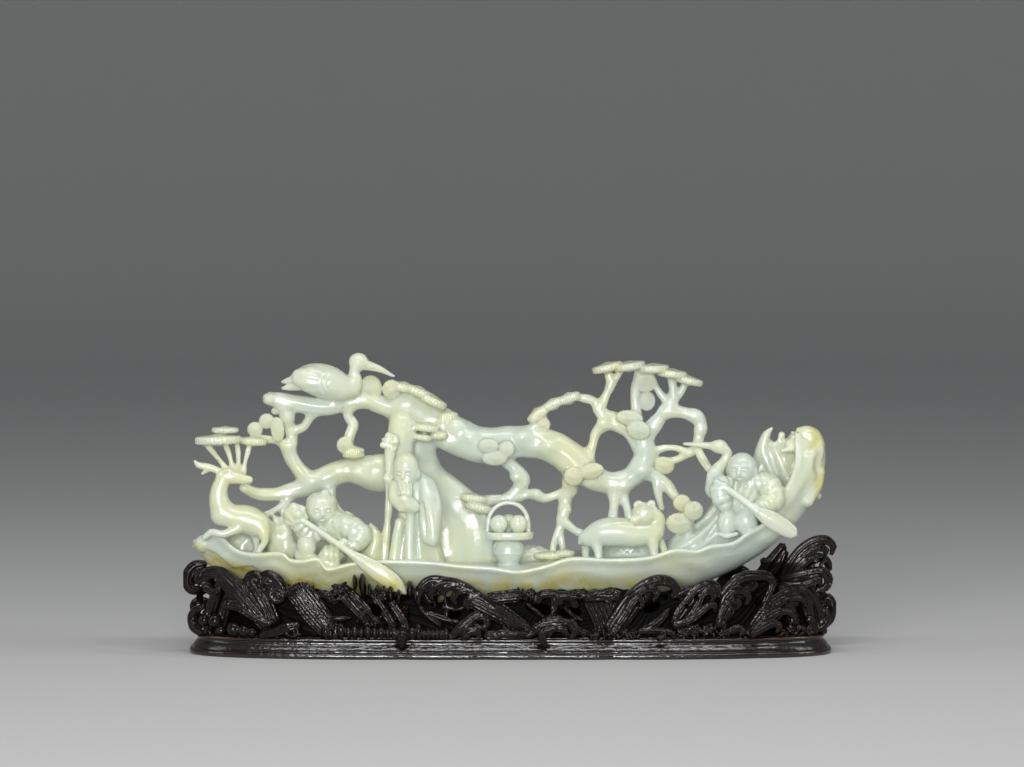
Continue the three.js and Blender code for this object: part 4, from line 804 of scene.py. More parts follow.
def bend_of(mesh, rounds=2):
    """How sharply each point of a mesh bends outwards, in 1/mm, above 0 on edges, below 0 in hollows."""
    places, faces = mesh_arrays(mesh)
    normals = vertex_normals(mesh)
    pairs = np.vstack([faces[:, [0, 1]], faces[:, [1, 2]], faces[:, [2, 0]]])
    ends = np.concatenate([pairs[:, 0], pairs[:, 1]])
    others = np.concatenate([pairs[:, 1], pairs[:, 0]])
    count = np.maximum(np.bincount(ends, minlength=len(places)), 1)
    spread = lambda values: np.bincount(ends, weights=values[others], minlength=len(places)) / count
    offset = np.stack([spread(places[:, i].astype(float)) for i in range(3)], 1) - places
    step = np.linalg.norm(places[ends] - places[others], axis=1) ** 2
    size = np.bincount(ends, weights=step, minlength=len(places)) / count
    bend = -(offset * normals).sum(1) / np.maximum(size, 1e-12) * MM
    for _ in range(rounds):
        bend = 0.5 * bend + 0.5 * spread(bend)
    return bend


def paint(mesh, name, values):
    """Stores one number or three for each point of a mesh, for its material to read."""
    kind = "FLOAT" if values.ndim == 1 else "FLOAT_VECTOR"
    layer = mesh.attributes.new(name, kind, "POINT")
    layer.data.foreach_set("value" if values.ndim == 1 else "vector", values.astype(np.float32).ravel())


jade_piece = carved_piece("jade_raft_group_carving", jade, 198000)
places, _ = mesh_arrays(jade_piece.data)
places = places / MM
jade_bend = bend_of(jade_piece.data)
paint(jade_piece.data, "bend", jade_bend)

# Fine needles: each point of a cluster keeps its place on the plate, from its middle.
needle = np.zeros((len(places), 3))
nearest = np.full(len(places), 0.55)
for place, size, tilt in needle_clusters:
    a = math.radians(tilt)
    offset = places - np.array(place)
    u = offset[:, 0] * math.cos(a) + offset[:, 2] * math.sin(a)
    w = -offset[:, 0] * math.sin(a) + offset[:, 2] * math.cos(a)
    v = offset[:, 1]
    k0 = np.sqrt((u / size[0]) ** 2 + (v / size[1]) ** 2 + (w / size[2]) ** 2)
    away = np.maximum(k0 - 1.12, 0) * min(size) + 0.02 * k0
    near = away < nearest
    flat_pair = (u / size[0], v / size[1]) if size[2] < size[1] else (u / size[0], w / size[2])
    needle[near, 0] = flat_pair[0][near]
    needle[near, 1] = flat_pair[1][near]
    needle[near, 2] = 1
    nearest[near] = away[near]
paint(jade_piece.data, "needle", needle)


# Yellow and russet skin is left along the raft's lower edge, on the ledge and on the prow.
def spots(points, scale, seed):
    """A soft cloudy pattern from -1 to 1 over points in millimetres."""
    turns = np.random.default_rng(seed)
    total = np.zeros(len(points))
    for _ in range(6):
        direction = turns.normal(size=3)
        direction /= np.linalg.norm(direction)
        total += np.sin(points @ direction / scale * turns.uniform(0.6, 1.6) * 6.28 + turns.uniform(0, 6.28))
    return total / 3.5


x, y, z = places.T
cloud = spots(places, 24, 3)
low_edge = np.interp(x, [-160, -130, -100, -40, 60, 100, 130], [55, 46, 41, 39.5, 39, 40, 46])
stain = np.clip((low_edge + 1.5 + 2.5 * cloud - z) / 6, 0, 1) * np.clip((110 - x) / 40, 0, 1)
ledge = np.interp(x, *np.array(ledge_line).T)
stain = np.maximum(stain, np.clip(1 - np.abs(z - ledge + 1.5) / 2.2, 0, 1) * (y < 0) * (x < -108) * 0.8)
stain = np.maximum(
    stain, np.clip((x - 150.5) / 2.5, 0, 1) * np.clip(0.4 + cloud, 0, 1) * np.clip((z - 66) / 4, 0, 1)
)
stain = np.maximum(
    stain, 0.9 * np.clip((x - 147) / 5, 0, 1) * np.clip((z - 97) / 6, 0, 1) * np.clip(0.7 + cloud, 0, 1)
)
stain = np.maximum(stain, 0.6 * np.clip(1 - np.hypot(x - 27, z - 37) / 5, 0, 1) * (y < 0))
paint(jade_piece.data, "stain", stain)
cool = np.exp(-(((x + 20) / 45) ** 2) - ((z - 90) / 40) ** 2)
cool = cool + np.exp(-(((x - 108) / 24) ** 2)) + np.exp(-(((x - 66) / 9) ** 2))
warm = np.clip(0.95 + 0.5 * spots(places, 60, 8) - 0.75 * cool + 0.3 * needle[:, 2], 0, 1)
paint(jade_piece.data, "warm", warm)


def effect(name, inputs, outputs):
    """An empty node group with its named sockets, and its first and last node."""
    group = bpy.data.node_groups.new(name, "ShaderNodeTree")
    for label, value in inputs:
        kind = "NodeSocketFloat" if isinstance(value, float) else "NodeSocketColor"
        group.interface.new_socket(label, in_out="INPUT", socket_type=kind).default_value = value
    for label, kind in outputs:
        group.interface.new_socket(label, in_out="OUTPUT", socket_type=kind)
    return group, group.nodes.new("NodeGroupInput"), group.nodes.new("NodeGroupOutput")


def node(tree, kind, inputs=None, **settings):
    """A shader node with its settings and input values or links."""
    made = tree.nodes.new("ShaderNode" + kind)
    for key, value in settings.items():
        setattr(made, key, value)
    for key, value in (inputs or {}).items():
        if isinstance(value, bpy.types.NodeSocket):
            tree.links.new(value, made.inputs[key])
        else:
            made.inputs[key].default_value = value
    return made


def maths(tree, operation, *values, clamp=False):
    made = tree.nodes.new("ShaderNodeMath")
    made.operation = operation
    made.use_clamp = clamp
    for i, value in enumerate(values):
        if isinstance(value, bpy.types.NodeSocket):
            tree.links.new(value, made.inputs[i])
        else:
            made.inputs[i].default_value = value
    return made.outputs[0]


def mixed(tree, share, one, two):
    """One colour blended into another by a share."""
    made = tree.nodes.new("ShaderNodeMix")
    made.data_type = "RGBA"
    for socket, value in ((made.inputs[0], share), (made.inputs[6], one), (made.inputs[7], two)):
        if isinstance(value, bpy.types.NodeSocket):
            tree.links.new(value, socket)
        else:
            socket.default_value = value
    return made.outputs[2]


def band(tree, value, low, high):
    """0 below low, 1 above high."""
    return node(tree, "MapRange", {"Value": value, "From Min": low, "From Max": high}).outputs[0]


# Hand polishing leaves broad soft dips and fine scratches, on stone and wood alike.
polish_group, polish_in, polish_out = effect(
    "hand_polish", [("Dip size", 120.0), ("Scratch size", 900.0)],
    [("Dips", "NodeSocketFloat"), ("Scratches", "NodeSocketFloat")]
)
where = node(polish_group, "TexCoord").outputs["Object"]
dips = node(polish_group, "TexNoise",
            {"Vector": where, "Scale": polish_in.outputs["Dip size"], "Detail": 2.0})
scratches = node(polish_group, "TexNoise",
                 {"Vector": where, "Scale": polish_in.outputs["Scratch size"], "Detail": 4.0})
polish_group.links.new(dips.outputs[0], polish_out.inputs["Dips"])
polish_group.links.new(scratches.outputs[0], polish_out.inputs["Scratches"])


def new_material(name):
    material = bpy.data.materials.new(name)
    material.use_nodes = True
    return material, material.node_tree, material.node_tree.nodes["Principled BSDF"]


def place_group(tree, group, **values):
    made = tree.nodes.new("ShaderNodeGroup")
    made.node_tree = group
    for key, value in values.items():
        made.inputs[key.replace("_", " ")].default_value = value
    return made


jade_material, tree, shader = new_material("celadon_jade")
where = node(tree, "TexCoord").outputs["Object"]
big_cloud = node(tree, "TexNoise",
                 {"Vector": where, "Scale": 26.0, "Detail": 5.0, "Roughness": 0.55}).outputs[0]
small_cloud = node(tree, "TexNoise",
                   {"Vector": where, "Scale": 110.0, "Detail": 6.0, "Roughness": 0.62}).outputs[0]
celadon = (0.535, 0.60, 0.53, 1)
cream = (0.60, 0.62, 0.41, 1)
milk = (0.69, 0.71, 0.62, 1)
yellow_skin = (0.50, 0.45, 0.12, 1)
russet_skin = (0.33, 0.15, 0.03, 1)
warm_value = node(tree, "Attribute", attribute_name="warm").outputs["Fac"]
veined = maths(tree, "MULTIPLY", band(tree, big_cloud, 0.36, 0.6), warm_value, clamp=True)
colour = mixed(tree, veined, celadon, cream)
colour = mixed(tree, maths(tree, "MULTIPLY", band(tree, small_cloud, 0.5, 0.72), 0.4), colour, milk)
stain_value = node(tree, "Attribute", attribute_name="stain").outputs["Fac"]
patchy = maths(tree, "MULTIPLY", stain_value, band(tree, small_cloud, 0.3, 0.6))
colour = mixed(tree, patchy, colour, yellow_skin)
colour = mixed(tree, band(tree, maths(tree, "MULTIPLY", stain_value, small_cloud), 0.56, 0.7), colour,
               russet_skin)
# Painted shade: where the surface bends inwards, in hollows and carved lines, the colour is darkened towards
# a deep olive green.
bend_value = node(tree, "Attribute", attribute_name="bend").outputs["Fac"]
colour = mixed(tree, maths(tree, "MULTIPLY", band(tree, bend_value, -0.04, -0.4), 0.6), colour,
               (0.44, 0.47, 0.28, 1))
# Fine needle lines on the clusters: a bump, and painted shade that darkens the furrows between the needles
# towards olive brown.
needle_node = node(tree, "Attribute", attribute_name="needle")
parts = node(tree, "SeparateXYZ", {"Vector": needle_node.outputs["Vector"]})
angle = maths(tree, "ARCTAN2", parts.outputs[1], parts.outputs[0])
lines = maths(tree, "SINE", maths(tree, "MULTIPLY", angle, 30.0))
lines = maths(tree, "MULTIPLY", lines, parts.outputs[2])
furrow = maths(tree, "MULTIPLY", maths(tree, "MULTIPLY_ADD", lines, -0.5, 0.5), parts.outputs[2])
furrow = maths(tree, "MULTIPLY", furrow, band(tree, small_cloud, 0.3, 0.6))
colour = mixed(tree, maths(tree, "MULTIPLY", furrow, 0.42), colour, (0.46, 0.43, 0.26, 1))
tree.links.new(colour, shader.inputs["Base Color"])
needle_bump = node(tree, "Bump", {"Strength": 0.4, "Distance": 0.00022, "Height": lines})
polish = place_group(tree, polish_group, Dip_size=140.0, Scratch_size=1500.0)
polish_bump = node(tree, "Bump", {"Strength": 0.25, "Distance": 0.0012, "Height": polish.outputs["Dips"],
                                  "Normal": needle_bump.outputs[0]})
tree.links.new(polish_bump.outputs[0], shader.inputs["Normal"])
rough_value = node(tree, "MapRange",
                   {"Value": polish.outputs["Scratches"], "To Min": 0.19, "To Max": 0.31}).outputs[0]
tree.links.new(rough_value, shader.inputs["Roughness"])
shader.inputs["IOR"].default_value = 1.62
shader.inputs["Subsurface Weight"].default_value = 0.75
shader.inputs["Subsurface Radius"].default_value = (1.0, 1.0, 0.75)
shader.inputs["Subsurface Scale"].default_value = 0.007
jade_piece.data.materials.append(jade_material)
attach(jade_piece, "root")
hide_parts("jade_raft_group")

# The plinth. The stand's foot is a long board with a lobed front, worked with a foot bead, a deep
# hollow and a top fillet, cut from the same dark hardwood as the waves and waxed nearly black.
stand_low, stand_high = (np.array(corner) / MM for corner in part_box("wave_stand"))
plinth_length = 321.0
plinth_depth = 94.0
plinth_height = 10.0
plinth_squareness = 3.2
lobe_places = (-154, -53.5, -12, 17.5, 51, 122)
lobe_depth = 1.7
plinth_profile = [
    (30, 0), (1.0, 0), (0.4, 0.3), (0.1, 0.9), (0, 1.5), (0.1, 2.1), (0.5, 2.7), (1.1, 3.0), (1.5, 3.1),
    (1.6, 3.4), (1.7, 3.9), (2.1, 4.7), (2.8, 5.6), (3.5, 6.3), (4.0, 7.0), (4.2, 7.7), (4.1, 8.1),
    (3.6, 8.3), (3.4, 8.6), (3.3, 9.1), (3.5, 9.6), (4.0, 9.9), (4.6, 10), (30, 10),
]


def squared(value):
    """Turns the sine or cosine of a round outline into that of the squarer plinth."""
    return np.sign(value) * np.abs(value) ** (2 / plinth_squareness)


def plinth_ring(inset, points=720):
    """The plinth's outline as x and y, drawn in by an inset and by its lobes."""
    turn = np.linspace(0, 2 * math.pi, points, endpoint=False)
    x = (plinth_length / 2 - inset) * squared(np.cos(turn))
    notch = sum(np.exp(-np.abs(x - place) / 6) for place in lobe_places)
    side = np.abs(np.sin(turn)) ** 0.6
    y = (plinth_depth / 2 - inset - lobe_depth * np.minimum(notch, 1) * side) * squared(np.sin(turn))
    return x, y


rings = []
for inset, height in plinth_profile:
    x, y = plinth_ring(min(inset, 6)) if inset < 20 else plinth_ring(26)
    rings.append(np.stack([x, y, np.full_like(x, height)], 1))
around = len(rings[0])
plinth_places = np.vstack(rings + [[[0, 0, 0], [0, 0, plinth_height]]])
index = np.arange(around)
after = (index + 1) % around
faces = []
for level in range(len(rings) - 1):
    low_ring, high_ring = level * around, (level + 1) * around
    faces.append(np.stack([low_ring + index, low_ring + after, high_ring + after, high_ring + index], 1))
faces = np.vstack(faces)
faces = np.vstack([faces[:, [0, 1, 2]], faces[:, [0, 2, 3]]])
bottom, top = len(plinth_places) - 2, len(plinth_places) - 1
last_ring = (len(rings) - 1) * around
caps = [np.stack([np.full(around, bottom), after, index], 1),
        np.stack([np.full(around, top), last_ring + index, last_ring + after], 1)]
plinth_mesh = new_mesh("stand_plinth", plinth_places * MM, np.vstack([faces, *caps]))
plinth_mesh.polygons.foreach_set("use_smooth", np.ones(len(plinth_mesh.polygons), bool))
plinth_piece = bpy.data.objects.new("stand_plinth", plinth_mesh)
bpy.context.scene.collection.objects.link(plinth_piece)
plinth_bend = np.clip(bend_of(plinth_mesh, 1), -1, 1)
paint(plinth_mesh, "bend", plinth_bend)

# Worn edges: wax and stain are rubbed off the high places, where the wood shows red-brown.
wear_group, wear_in, wear_out = effect("rubbed_edges", [("Start", 0.1), ("Full", 0.6)],
                                       [("Mask", "NodeSocketFloat")])
bend_value = node(wear_group, "Attribute", attribute_name="bend").outputs["Fac"]
where = node(wear_group, "TexCoord").outputs["Object"]
breakup = node(wear_group, "TexNoise", {"Vector": where, "Scale": 70.0, "Detail": 5.0}).outputs[0]
high = node(wear_group, "MapRange",
            {"Value": bend_value, "From Min": wear_in.outputs["Start"],
             "From Max": wear_in.outputs["Full"]}).outputs[0]
mask = maths(wear_group, "MULTIPLY", high, band(wear_group, breakup, 0.38, 0.62), clamp=True)
wear_group.links.new(mask, wear_out.inputs["Mask"])


def dark_wood(name, start, full, gloss):
    """Waxed hardwood, nearly black, with fine grain, red-brown rubbed edges and painted shade in its sunk
    hollows.
    """
    material, tree, shader = new_material(name)
    where = node(tree, "TexCoord").outputs["Object"]
    stretched = node(tree, "Mapping", {"Vector": where, "Scale": (1.0, 6.0, 6.0)}).outputs[0]
    grain = node(tree, "TexNoise",
                 {"Vector": stretched, "Scale": 160.0, "Detail": 5.0, "Roughness": 0.6}).outputs[0]
    wear = place_group(tree, wear_group, Start=start, Full=full).outputs["Mask"]
    # Painted shade: points sunk behind the front of the waves are darkened to near black and their
    # reflections dulled, as shade in the deep hollows.
    sunk = node(tree, "Attribute", attribute_name="sunk").outputs["Fac"]
    colour = mixed(tree, band(tree, grain, 0.35, 0.7), (0.004, 0.003, 0.0025, 1), (0.011, 0.007, 0.0055, 1))
    colour = mixed(tree, maths(tree, "MULTIPLY", wear, 0.75), colour, (0.15, 0.058, 0.026, 1))
    colour = mixed(tree, sunk, colour, (0.002, 0.0016, 0.0014, 1))
    tree.links.new(colour, shader.inputs["Base Color"])
    shine = node(tree, "MapRange", {"Value": sunk, "To Min": gloss, "To Max": 0.05}).outputs[0]
    tree.links.new(shine, shader.inputs["Specular IOR Level"])
    polish = place_group(tree, polish_group, Dip_size=260.0, Scratch_size=2200.0)
    roughness = node(tree, "MapRange",
                     {"Value": polish.outputs["Scratches"], "To Min": 0.12, "To Max": 0.24}).outputs[0]
    roughness = maths(tree, "ADD", roughness, maths(tree, "MULTIPLY", sunk, 0.4))
    tree.links.new(roughness, shader.inputs["Roughness"])
    grain_bump = node(tree, "Bump", {"Strength": 0.35, "Distance": 0.0003, "Height": grain})
    dip_bump = node(tree, "Bump", {"Strength": 0.4, "Distance": 0.001, "Height": polish.outputs["Dips"],
                                   "Normal": grain_bump.outputs[0]})
    tree.links.new(dip_bump.outputs[0], shader.inputs["Normal"])
    return material


plinth_mesh.materials.append(dark_wood("waxed_plinth_wood", 0.12, 0.5, 0.9))
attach(plinth_piece, "root")
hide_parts("wave_stand")

# The waves. A bank of carved water rises from the plinth all round the raft, cut through in places
# so that the jade shows. It breaks into ridged strands that curl over, drilled foam and torn crests.
stand_cell = 0.43
seat_gap = 0.35
bank_inset = 12.6
wave_inset = 7.4
bed_inset = 6
bank_tops = [36, 37, 31, 29, 30, 32, 33, 31, 35, 37]
stand = Block((-164, -48.5, plinth_height - 5), (163.6, 48.5, 62), stand_cell)


def edge_at(x):
    along = min(1, abs(2 * x / plinth_length))
    return plinth_depth / 2 * (1 - along**plinth_squareness) ** (1 / plinth_squareness)


whole = stand.whole()
x, y, z = stand.axes(whole)
half_x, half_y = plinth_length / 2 - bank_inset, plinth_depth / 2 - bank_inset
power = plinth_squareness
across = np.abs(x / half_x) ** power + np.abs(y / half_y) ** power
ratio = across ** (1 / power)
steep = np.sqrt(
    (np.abs(x / half_x) ** (power - 1) / half_x) ** 2 + (np.abs(y / half_y) ** (power - 1) / half_y) ** 2
) * across ** (1 / power - 1)
wall = (ratio - 1) / (steep + 1e-6)
flow = 0.8 * z - 0.5 * np.abs(x + 6) + 3 * np.sin(x / 9 + 0.1 * z) + 0.25 * y
ridges = np.abs(np.sin(math.pi * flow / 2.1)) - 0.5
wall = wall - 0.6 * ridges + 0.05 * (z - plinth_height)
tops = smooth_line(
    [(plinth_length * (i / (len(bank_tops) - 1) - 0.5), 0, top) for i, top in enumerate(bank_tops)], 1
)
top_at = np.interp(x.ravel(), tops[:, 0], tops[:, 2])[:, None, None]
top = z - top_at - 1.2 * np.sin(x / 1.9 + y / 3) * np.sin(x / 4.7)
bank = np.maximum(np.maximum(wall, top), plinth_height - 0.4 - z)
stand.add(whole, np.clip(bank, -FAR, FAR).astype(np.float32), 0.5)
bed_x, bed_y = plinth_length / 2 - bed_inset, plinth_depth / 2 - bed_inset
bed = (np.abs(x / bed_x) ** power + np.abs(y / bed_y) ** power) ** (1 / power)
bed = np.maximum(40 * (bed - 1), np.abs(z - plinth_height + 0.4) - 1)
stand.add(whole, np.clip(bed, -FAR, FAR).astype(np.float32), 0.3)


def ropes(count, depth):
    """Rounded ridges along a strand with sharp grooves between them."""
    return lambda along, across: depth * (2 * np.abs(np.cos(math.pi * count * across / 2)) - 1)


def front_at(x, out=0.0):
    """How far forward the front waves lie at x."""
    return -max(edge_at(x) - wave_inset + out, 0.5 * edge_at(x))


def strand(points, out=0.0, ridges=2, depth=0.32, deep=None, flat=1.0):
    """A strand of water through points (x, z, radius), ridged along its length."""
    placed = [(px, front_at(px, out) if deep is None else deep, pz, r) for px, pz, r in points]
    bar(stand, placed, flat=flat, soft=0.35, relief=ropes(ridges, depth))


def eye(px, pz, radius=0.8, out=0.0, deep=None):
    """A hole drilled into the middle of a curl."""
    near = front_at(px, out) if deep is None else deep
    bar(stand, [(px, near - 6, pz, radius), (px, near - 0.5, pz, 0.8 * radius)], soft=0.3, cut=True)


def curl_head(px, pz, radius, tube, out=0.0, opening=200):
    """A rolled head: a ring left open at one side, round a drilled boss."""
    turns = np.radians(np.linspace(opening + 40, opening + 340, 9))
    strand([(px + radius * math.cos(a), pz + radius * math.sin(a), tube * (1 - 0.045 * i))
            for i, a in enumerate(turns)], out)
    lump(stand, (px, front_at(px, out), pz), (0.7 * radius, 0.5 * radius + 0.8, 0.7 * radius), soft=0.3)
    eye(px, pz, 0.22 * radius, out)


def crumple(low, high, count, out=0.0, seed=0, most=1.5):
    """A torn crest: small sharp shards set close together on a backing, between two corners."""
    chance = np.random.default_rng(seed)
    middle, half = (low[1] + high[1]) / 2, min(max((high[1] - low[1]) / 2 - 0.4, 0.9), 2.4)
    strand([(low[0] + half, middle, half), (high[0] - half, middle, half)], out - 3.2, ridges=3, depth=0.3,
           flat=1.6)
    for _ in range(count):
        px, pz = chance.uniform(low[0], high[0]), chance.uniform(low[1], high[1])
        size = chance.uniform(0.6, most)
        place = (px, front_at(px, out + chance.uniform(-0.8, 1.2)), pz)
        lump(stand, place, (0.55 * size, 1.5 * size, 1.5 * size), tilt=chance.uniform(-70, 70),
             turn=chance.uniform(-50, 50), soft=0.2)


# Left end: a hooked wave that overhangs the plinth, a big rolled head, a long drilled arm in front
# of it, a double drilled head and a smaller one, and a row of drilled balls down at the plinth.
strand([(-152.8, 44.6, 1.8), (-157, 44, 2.3), (-160, 40.8, 2.5), (-161, 36.8, 2.5), (-159.8, 33, 2.4),
        (-157.4, 31.6, 2.1),
        (-155, 32.6, 1.4)], deep=-15)
lump(stand, (-154.6, -16.5, 37.8), (3.5, 3.6, 3.5), soft=0.4)
eye(-153.6, 38.4, 0.7, deep=-19)
strand([(-154, 40, 2.6), (-147, 41, 2.8)], deep=-16)
strand([(-121.5, 17.5, 4.6), (-132.4, 29.4, 5.4), (-140, 37.4, 5), (-144.4, 40.8, 3.6), (-148.8, 40.4, 2.7),
        (-151.4, 37.2, 2.5),
        (-150.4, 33.2, 2.3), (-146.8, 31.6, 2.1), (-144, 33.8, 1.8), (-145.2, 36.4, 1.2)], ridges=5,
        depth=0.42)
eye(-147.4, 37, 1.1)
strand([(-139.6, 26, 3.2), (-134.4, 25.2, 3), (-129, 21.8, 2.8), (-124, 19, 2.2), (-119, 17, 1.4)], 3.2,
       ridges=3)
lump(stand, (-138.6, front_at(-138.6, 3.4), 26), (3.6, 3, 3.4), soft=0.4)
eye(-138.4, 26, 0.9, 5)
strand([(-117.8, 19, 4.4), (-122, 28.2, 5), (-125.2, 33, 4.6)], -1, ridges=5, depth=0.42)
curl_head(-126.7, 37.6, 3.6, 2.1, 0.6, opening=300)
curl_head(-119.9, 37.6, 3.8, 2.2, 0.6, opening=250)
strand([(-119.6, 41.6, 1.6), (-116, 39.6, 2.2), (-112.4, 35, 2.3), (-110.8, 31.4, 1.6)], 0.4)
curl_head(-114.9, 30.8, 2.6, 1.6, 2, opening=100)
strand([(-119.4, 33.4, 0.9), (-118.8, 31, 1.4), (-116.8, 28.4, 1.2)], 2.4)
strand([(-152.9, 23.4, 0.8), (-155.6, 22.4, 1.8), (-158, 18.4, 2.7), (-157.4, 14, 2.8), (-154, 11.4, 2.2)], 2)
for px, pz, size, drilled in (
    (-152, 17.4, 3, 1), (-146.4, 17.4, 3.5, 1), (-143.4, 12.8, 2.3, 0), (-137, 13.8, 3.7, 1),
    (-131.8, 13.2, 3, 0), (-127.6, 12.6, 2.5, 0),
):
    lump(stand, (px, front_at(px, 2.6), pz), (size, size, size), soft=0.2,
         relief=lambda u, v, w: 0.1 * np.cos(2.6 * u))
    if drilled:
        eye(px + 0.4, pz + 0.2, 0.8, 2.6 + size)
crumple((-122, 16), (-116, 20), 14, 2, 11, 1.2)
strand([(-122.4, 11.2, 1.8), (-115.4, 13.2, 2.6), (-109.4, 15.6, 2.8), (-105.6, 16.4, 2)], 3, ridges=3)
crumple((-112, 10.8), (-104, 14.6), 16, 3, 12)

# Left of the middle: a torn crest over a broad ribbed fan, spikes of spray and a row of discs.
crumple((-110, 31), (-97, 35.6), 60, 0.4, 13, 1.6)
strand([(-103, 31, 6.6), (-98, 24.6, 7), (-92.4, 17.6, 6.2), (-87.4, 12, 4.6)], 1, ridges=9, depth=0.5,
       flat=0.5)
strand([(-95, 31.4, 1.1), (-91.6, 32, 1.7), (-89, 28.6, 0.9)], 1)
strand([(-86.4, 33, 1.4), (-88.4, 31.6, 1.6), (-87.8, 28.8, 1.5), (-85.4, 28.2, 1)], 1)
crumple((-87.4, 29), (-80, 37), 36, 0.6, 14, 1.5)
strand([(-82, 30, 2.6), (-74.6, 22.2, 2.2), (-70, 16, 1.6)], 0.4, ridges=3)
strand([(-79, 33, 2), (-71, 25, 2.2), (-64, 17, 1.6)], -0.6, ridges=3)
lump(stand, (-84, front_at(-84, 2.2), 20), (5.6, 2, 1.6), tilt=4, soft=0.2)
for px, pz, wide, tall in ((-76.8, 37.4, 1.3, 4), (-72.9, 36, 1.8, 6), (-69.4, 33, 1.1, 4),
                           (-59, 31.6, 1.8, 4.6), (-55, 30.4, 1.4, 4),
                           (-49.6, 34, 2.1, 4.4), (-46.8, 31, 1.2, 4)):
    lump(stand, (px, front_at(px, 0.6) + 3, pz), (wide, 6.6, tall), tilt=4, soft=0.3)
crumple((-68, 29), (-61.6, 35), 30, 0.2, 15)
crumple((-76, 17), (-50, 27), 60, -1.4, 31, 1.7)
strand([(-66, 29, 2.2), (-60, 20, 2.4), (-57, 14, 2)], 0, ridges=3)
strand([(-58, 27, 2.2), (-53, 19, 2.4), (-51, 13, 2)], 0, ridges=3)
disc_row = [
    (-91, 12.6, 1.5, 3.1), (-88.6, 11.8, 0.8, 2.2), (-83.4, 13.6, 1.7, 3.6), (-79.8, 12.6, 1.1, 2.8),
    (-76.6, 12.8, 1.3, 3), (-73.4, 12.4, 1, 2.7),
    (-70.2, 12.8, 1.4, 3), (-66.8, 12.4, 1.1, 2.8), (-63.6, 12.6, 1.4, 2.8), (-60.4, 12.2, 1, 2.5),
    (-57.2, 12.4, 1.4, 2.9),
    (-48.4, 12.4, 1.6, 3), (-45.2, 13, 1.2, 4), (-42.6, 11.8, 0.8, 2.2), (-40.4, 12, 0.8, 2.6),
    (-38.2, 11.8, 0.8, 2.4), (-36, 12, 0.8, 2.6),
    (-33.8, 11.8, 0.8, 2.6), (-31.6, 12, 1, 3),
]
for px, pz, wide, tall in disc_row:
    lump(stand, (px, front_at(px, 3), pz + 0.6), (wide + 0.6, 3.2, 1.15 * tall), tilt=3, soft=0.15)
lump(stand, (-53.4, front_at(-53.4, 3.6), 12.4), (3.2, 3.2, 3.4), soft=0.3)
strand([(-53.4, 12, 2.6), (-53.5, 8.6, 1.6), (-53.5, 6, 0.7)], 4.6)

# The great crest: five thick strands roll over to the left above a pierced hollow, and their tail
# flows down to the right. Ragged blocks and two openings follow, with a hump of water below them.
crest_strands = [
    [(-24, 35.6, 2.6), (-34, 38.6, 2.6), (-39.6, 38.6, 2.7), (-43.6, 35.6, 2.6), (-45.6, 31, 2.1),
     (-45.4, 27.4, 1.2)],
    [(-20, 33.4, 2.6), (-26.4, 37.2, 2.6), (-32.6, 38, 2.6), (-37, 36.2, 2.4), (-39.2, 32.8, 1.9),
     (-38.6, 29.6, 1.1)],
    [(-15, 30, 2.6), (-21.4, 35, 2.6), (-26.6, 36.6, 2.5), (-31, 35.4, 2.2), (-33.4, 32.2, 1.6),
     (-32.6, 29.8, 1)],
    [(-10, 26, 2.5), (-16.4, 31.8, 2.5), (-21.4, 34.2, 2.4), (-25.8, 33.2, 2.2), (-28, 30, 1.6),
     (-27, 27.6, 1)],
    [(-6, 23, 2.4), (-11.6, 28.4, 2.4), (-16.4, 30.8, 2.3), (-20.4, 29.8, 2.1), (-22, 27, 1.6),
     (-20.8, 25.2, 1)],
]
for i, points in enumerate(crest_strands):
    strand(points, 0.4 + 0.55 * i, ridges=3, depth=0.26)
strand([(-17, 29, 4.6), (-7.4, 24, 4.8), (2, 18.6, 3.6), (8, 15.4, 2)], 0.2, ridges=6, depth=0.42)
for points in (
    [(-45.4, 27, 1.3), (-41, 21, 1.5), (-35, 16.4, 1.3)],
    [(-43, 33, 1), (-38.4, 27, 1.2), (-30.4, 25.2, 1.1)],
    [(-37, 33.6, 0.9), (-32, 28, 1), (-31.4, 21, 1.1)],
    [(-30.6, 25, 1.2), (-26, 24.4, 1.3), (-21.6, 26, 1.1)],
    [(-40, 22, 1.6), (-33, 19.4, 1.8), (-26, 18, 1.6)],
):
    strand(points, -1.4, ridges=2, depth=0.2)
strand([(-29, 10.8, 1.8), (-25.2, 14.6, 2.5), (-20.2, 19, 2.6), (-16.4, 21.4, 2.3), (-12.2, 20.2, 2.1),
        (-11.6, 17, 1.9), (-14.6, 15.4, 1.6),
        (-17.2, 17, 1.2)], 1.6, ridges=4)
eye(-14.8, 18.2, 0.9, 2.6)
strand([(-23, 10.8, 1.8), (-19.6, 14, 2), (-16.6, 13.8, 1.8), (-15.4, 11.4, 1.2)], 3)
strand([(-11, 11.6, 2.4), (-4, 12.3, 2.3), (2.2, 12, 2.1), (8.6, 11.8, 1.4)], 2.2, ridges=4)
eye(-9.4, 12.2, 0.7, 4)
crumple((-4, 14), (5, 16.4), 14, 1.4, 16, 1.1)
strand([(-8, 30, 3), (3, 31.2, 3.2)], 0.2, ridges=4, depth=0.4)
crumple((3.4, 29.6), (12, 33.4), 40, 0, 17, 1.6)
strand([(12.8, 27.6, 1.6), (14.6, 31.2, 2), (19, 32.2, 2.1), (23.2, 31.2, 2), (24.4, 27.4, 1.6)], 0.4)
strand([(21.6, 29, 1.7), (21.4, 24.6, 1.4), (19, 20, 1.5)], 0.2)
strand([(25, 31, 2), (30, 30.4, 2), (32, 26, 1.5)], 0.1)
crumple((30, 29.4), (37.6, 33.4), 36, 0.2, 18, 1.6)
strand([(38.6, 30.8, 3.2), (46, 31.4, 3.4), (52, 31, 3)], 0.2, ridges=3)
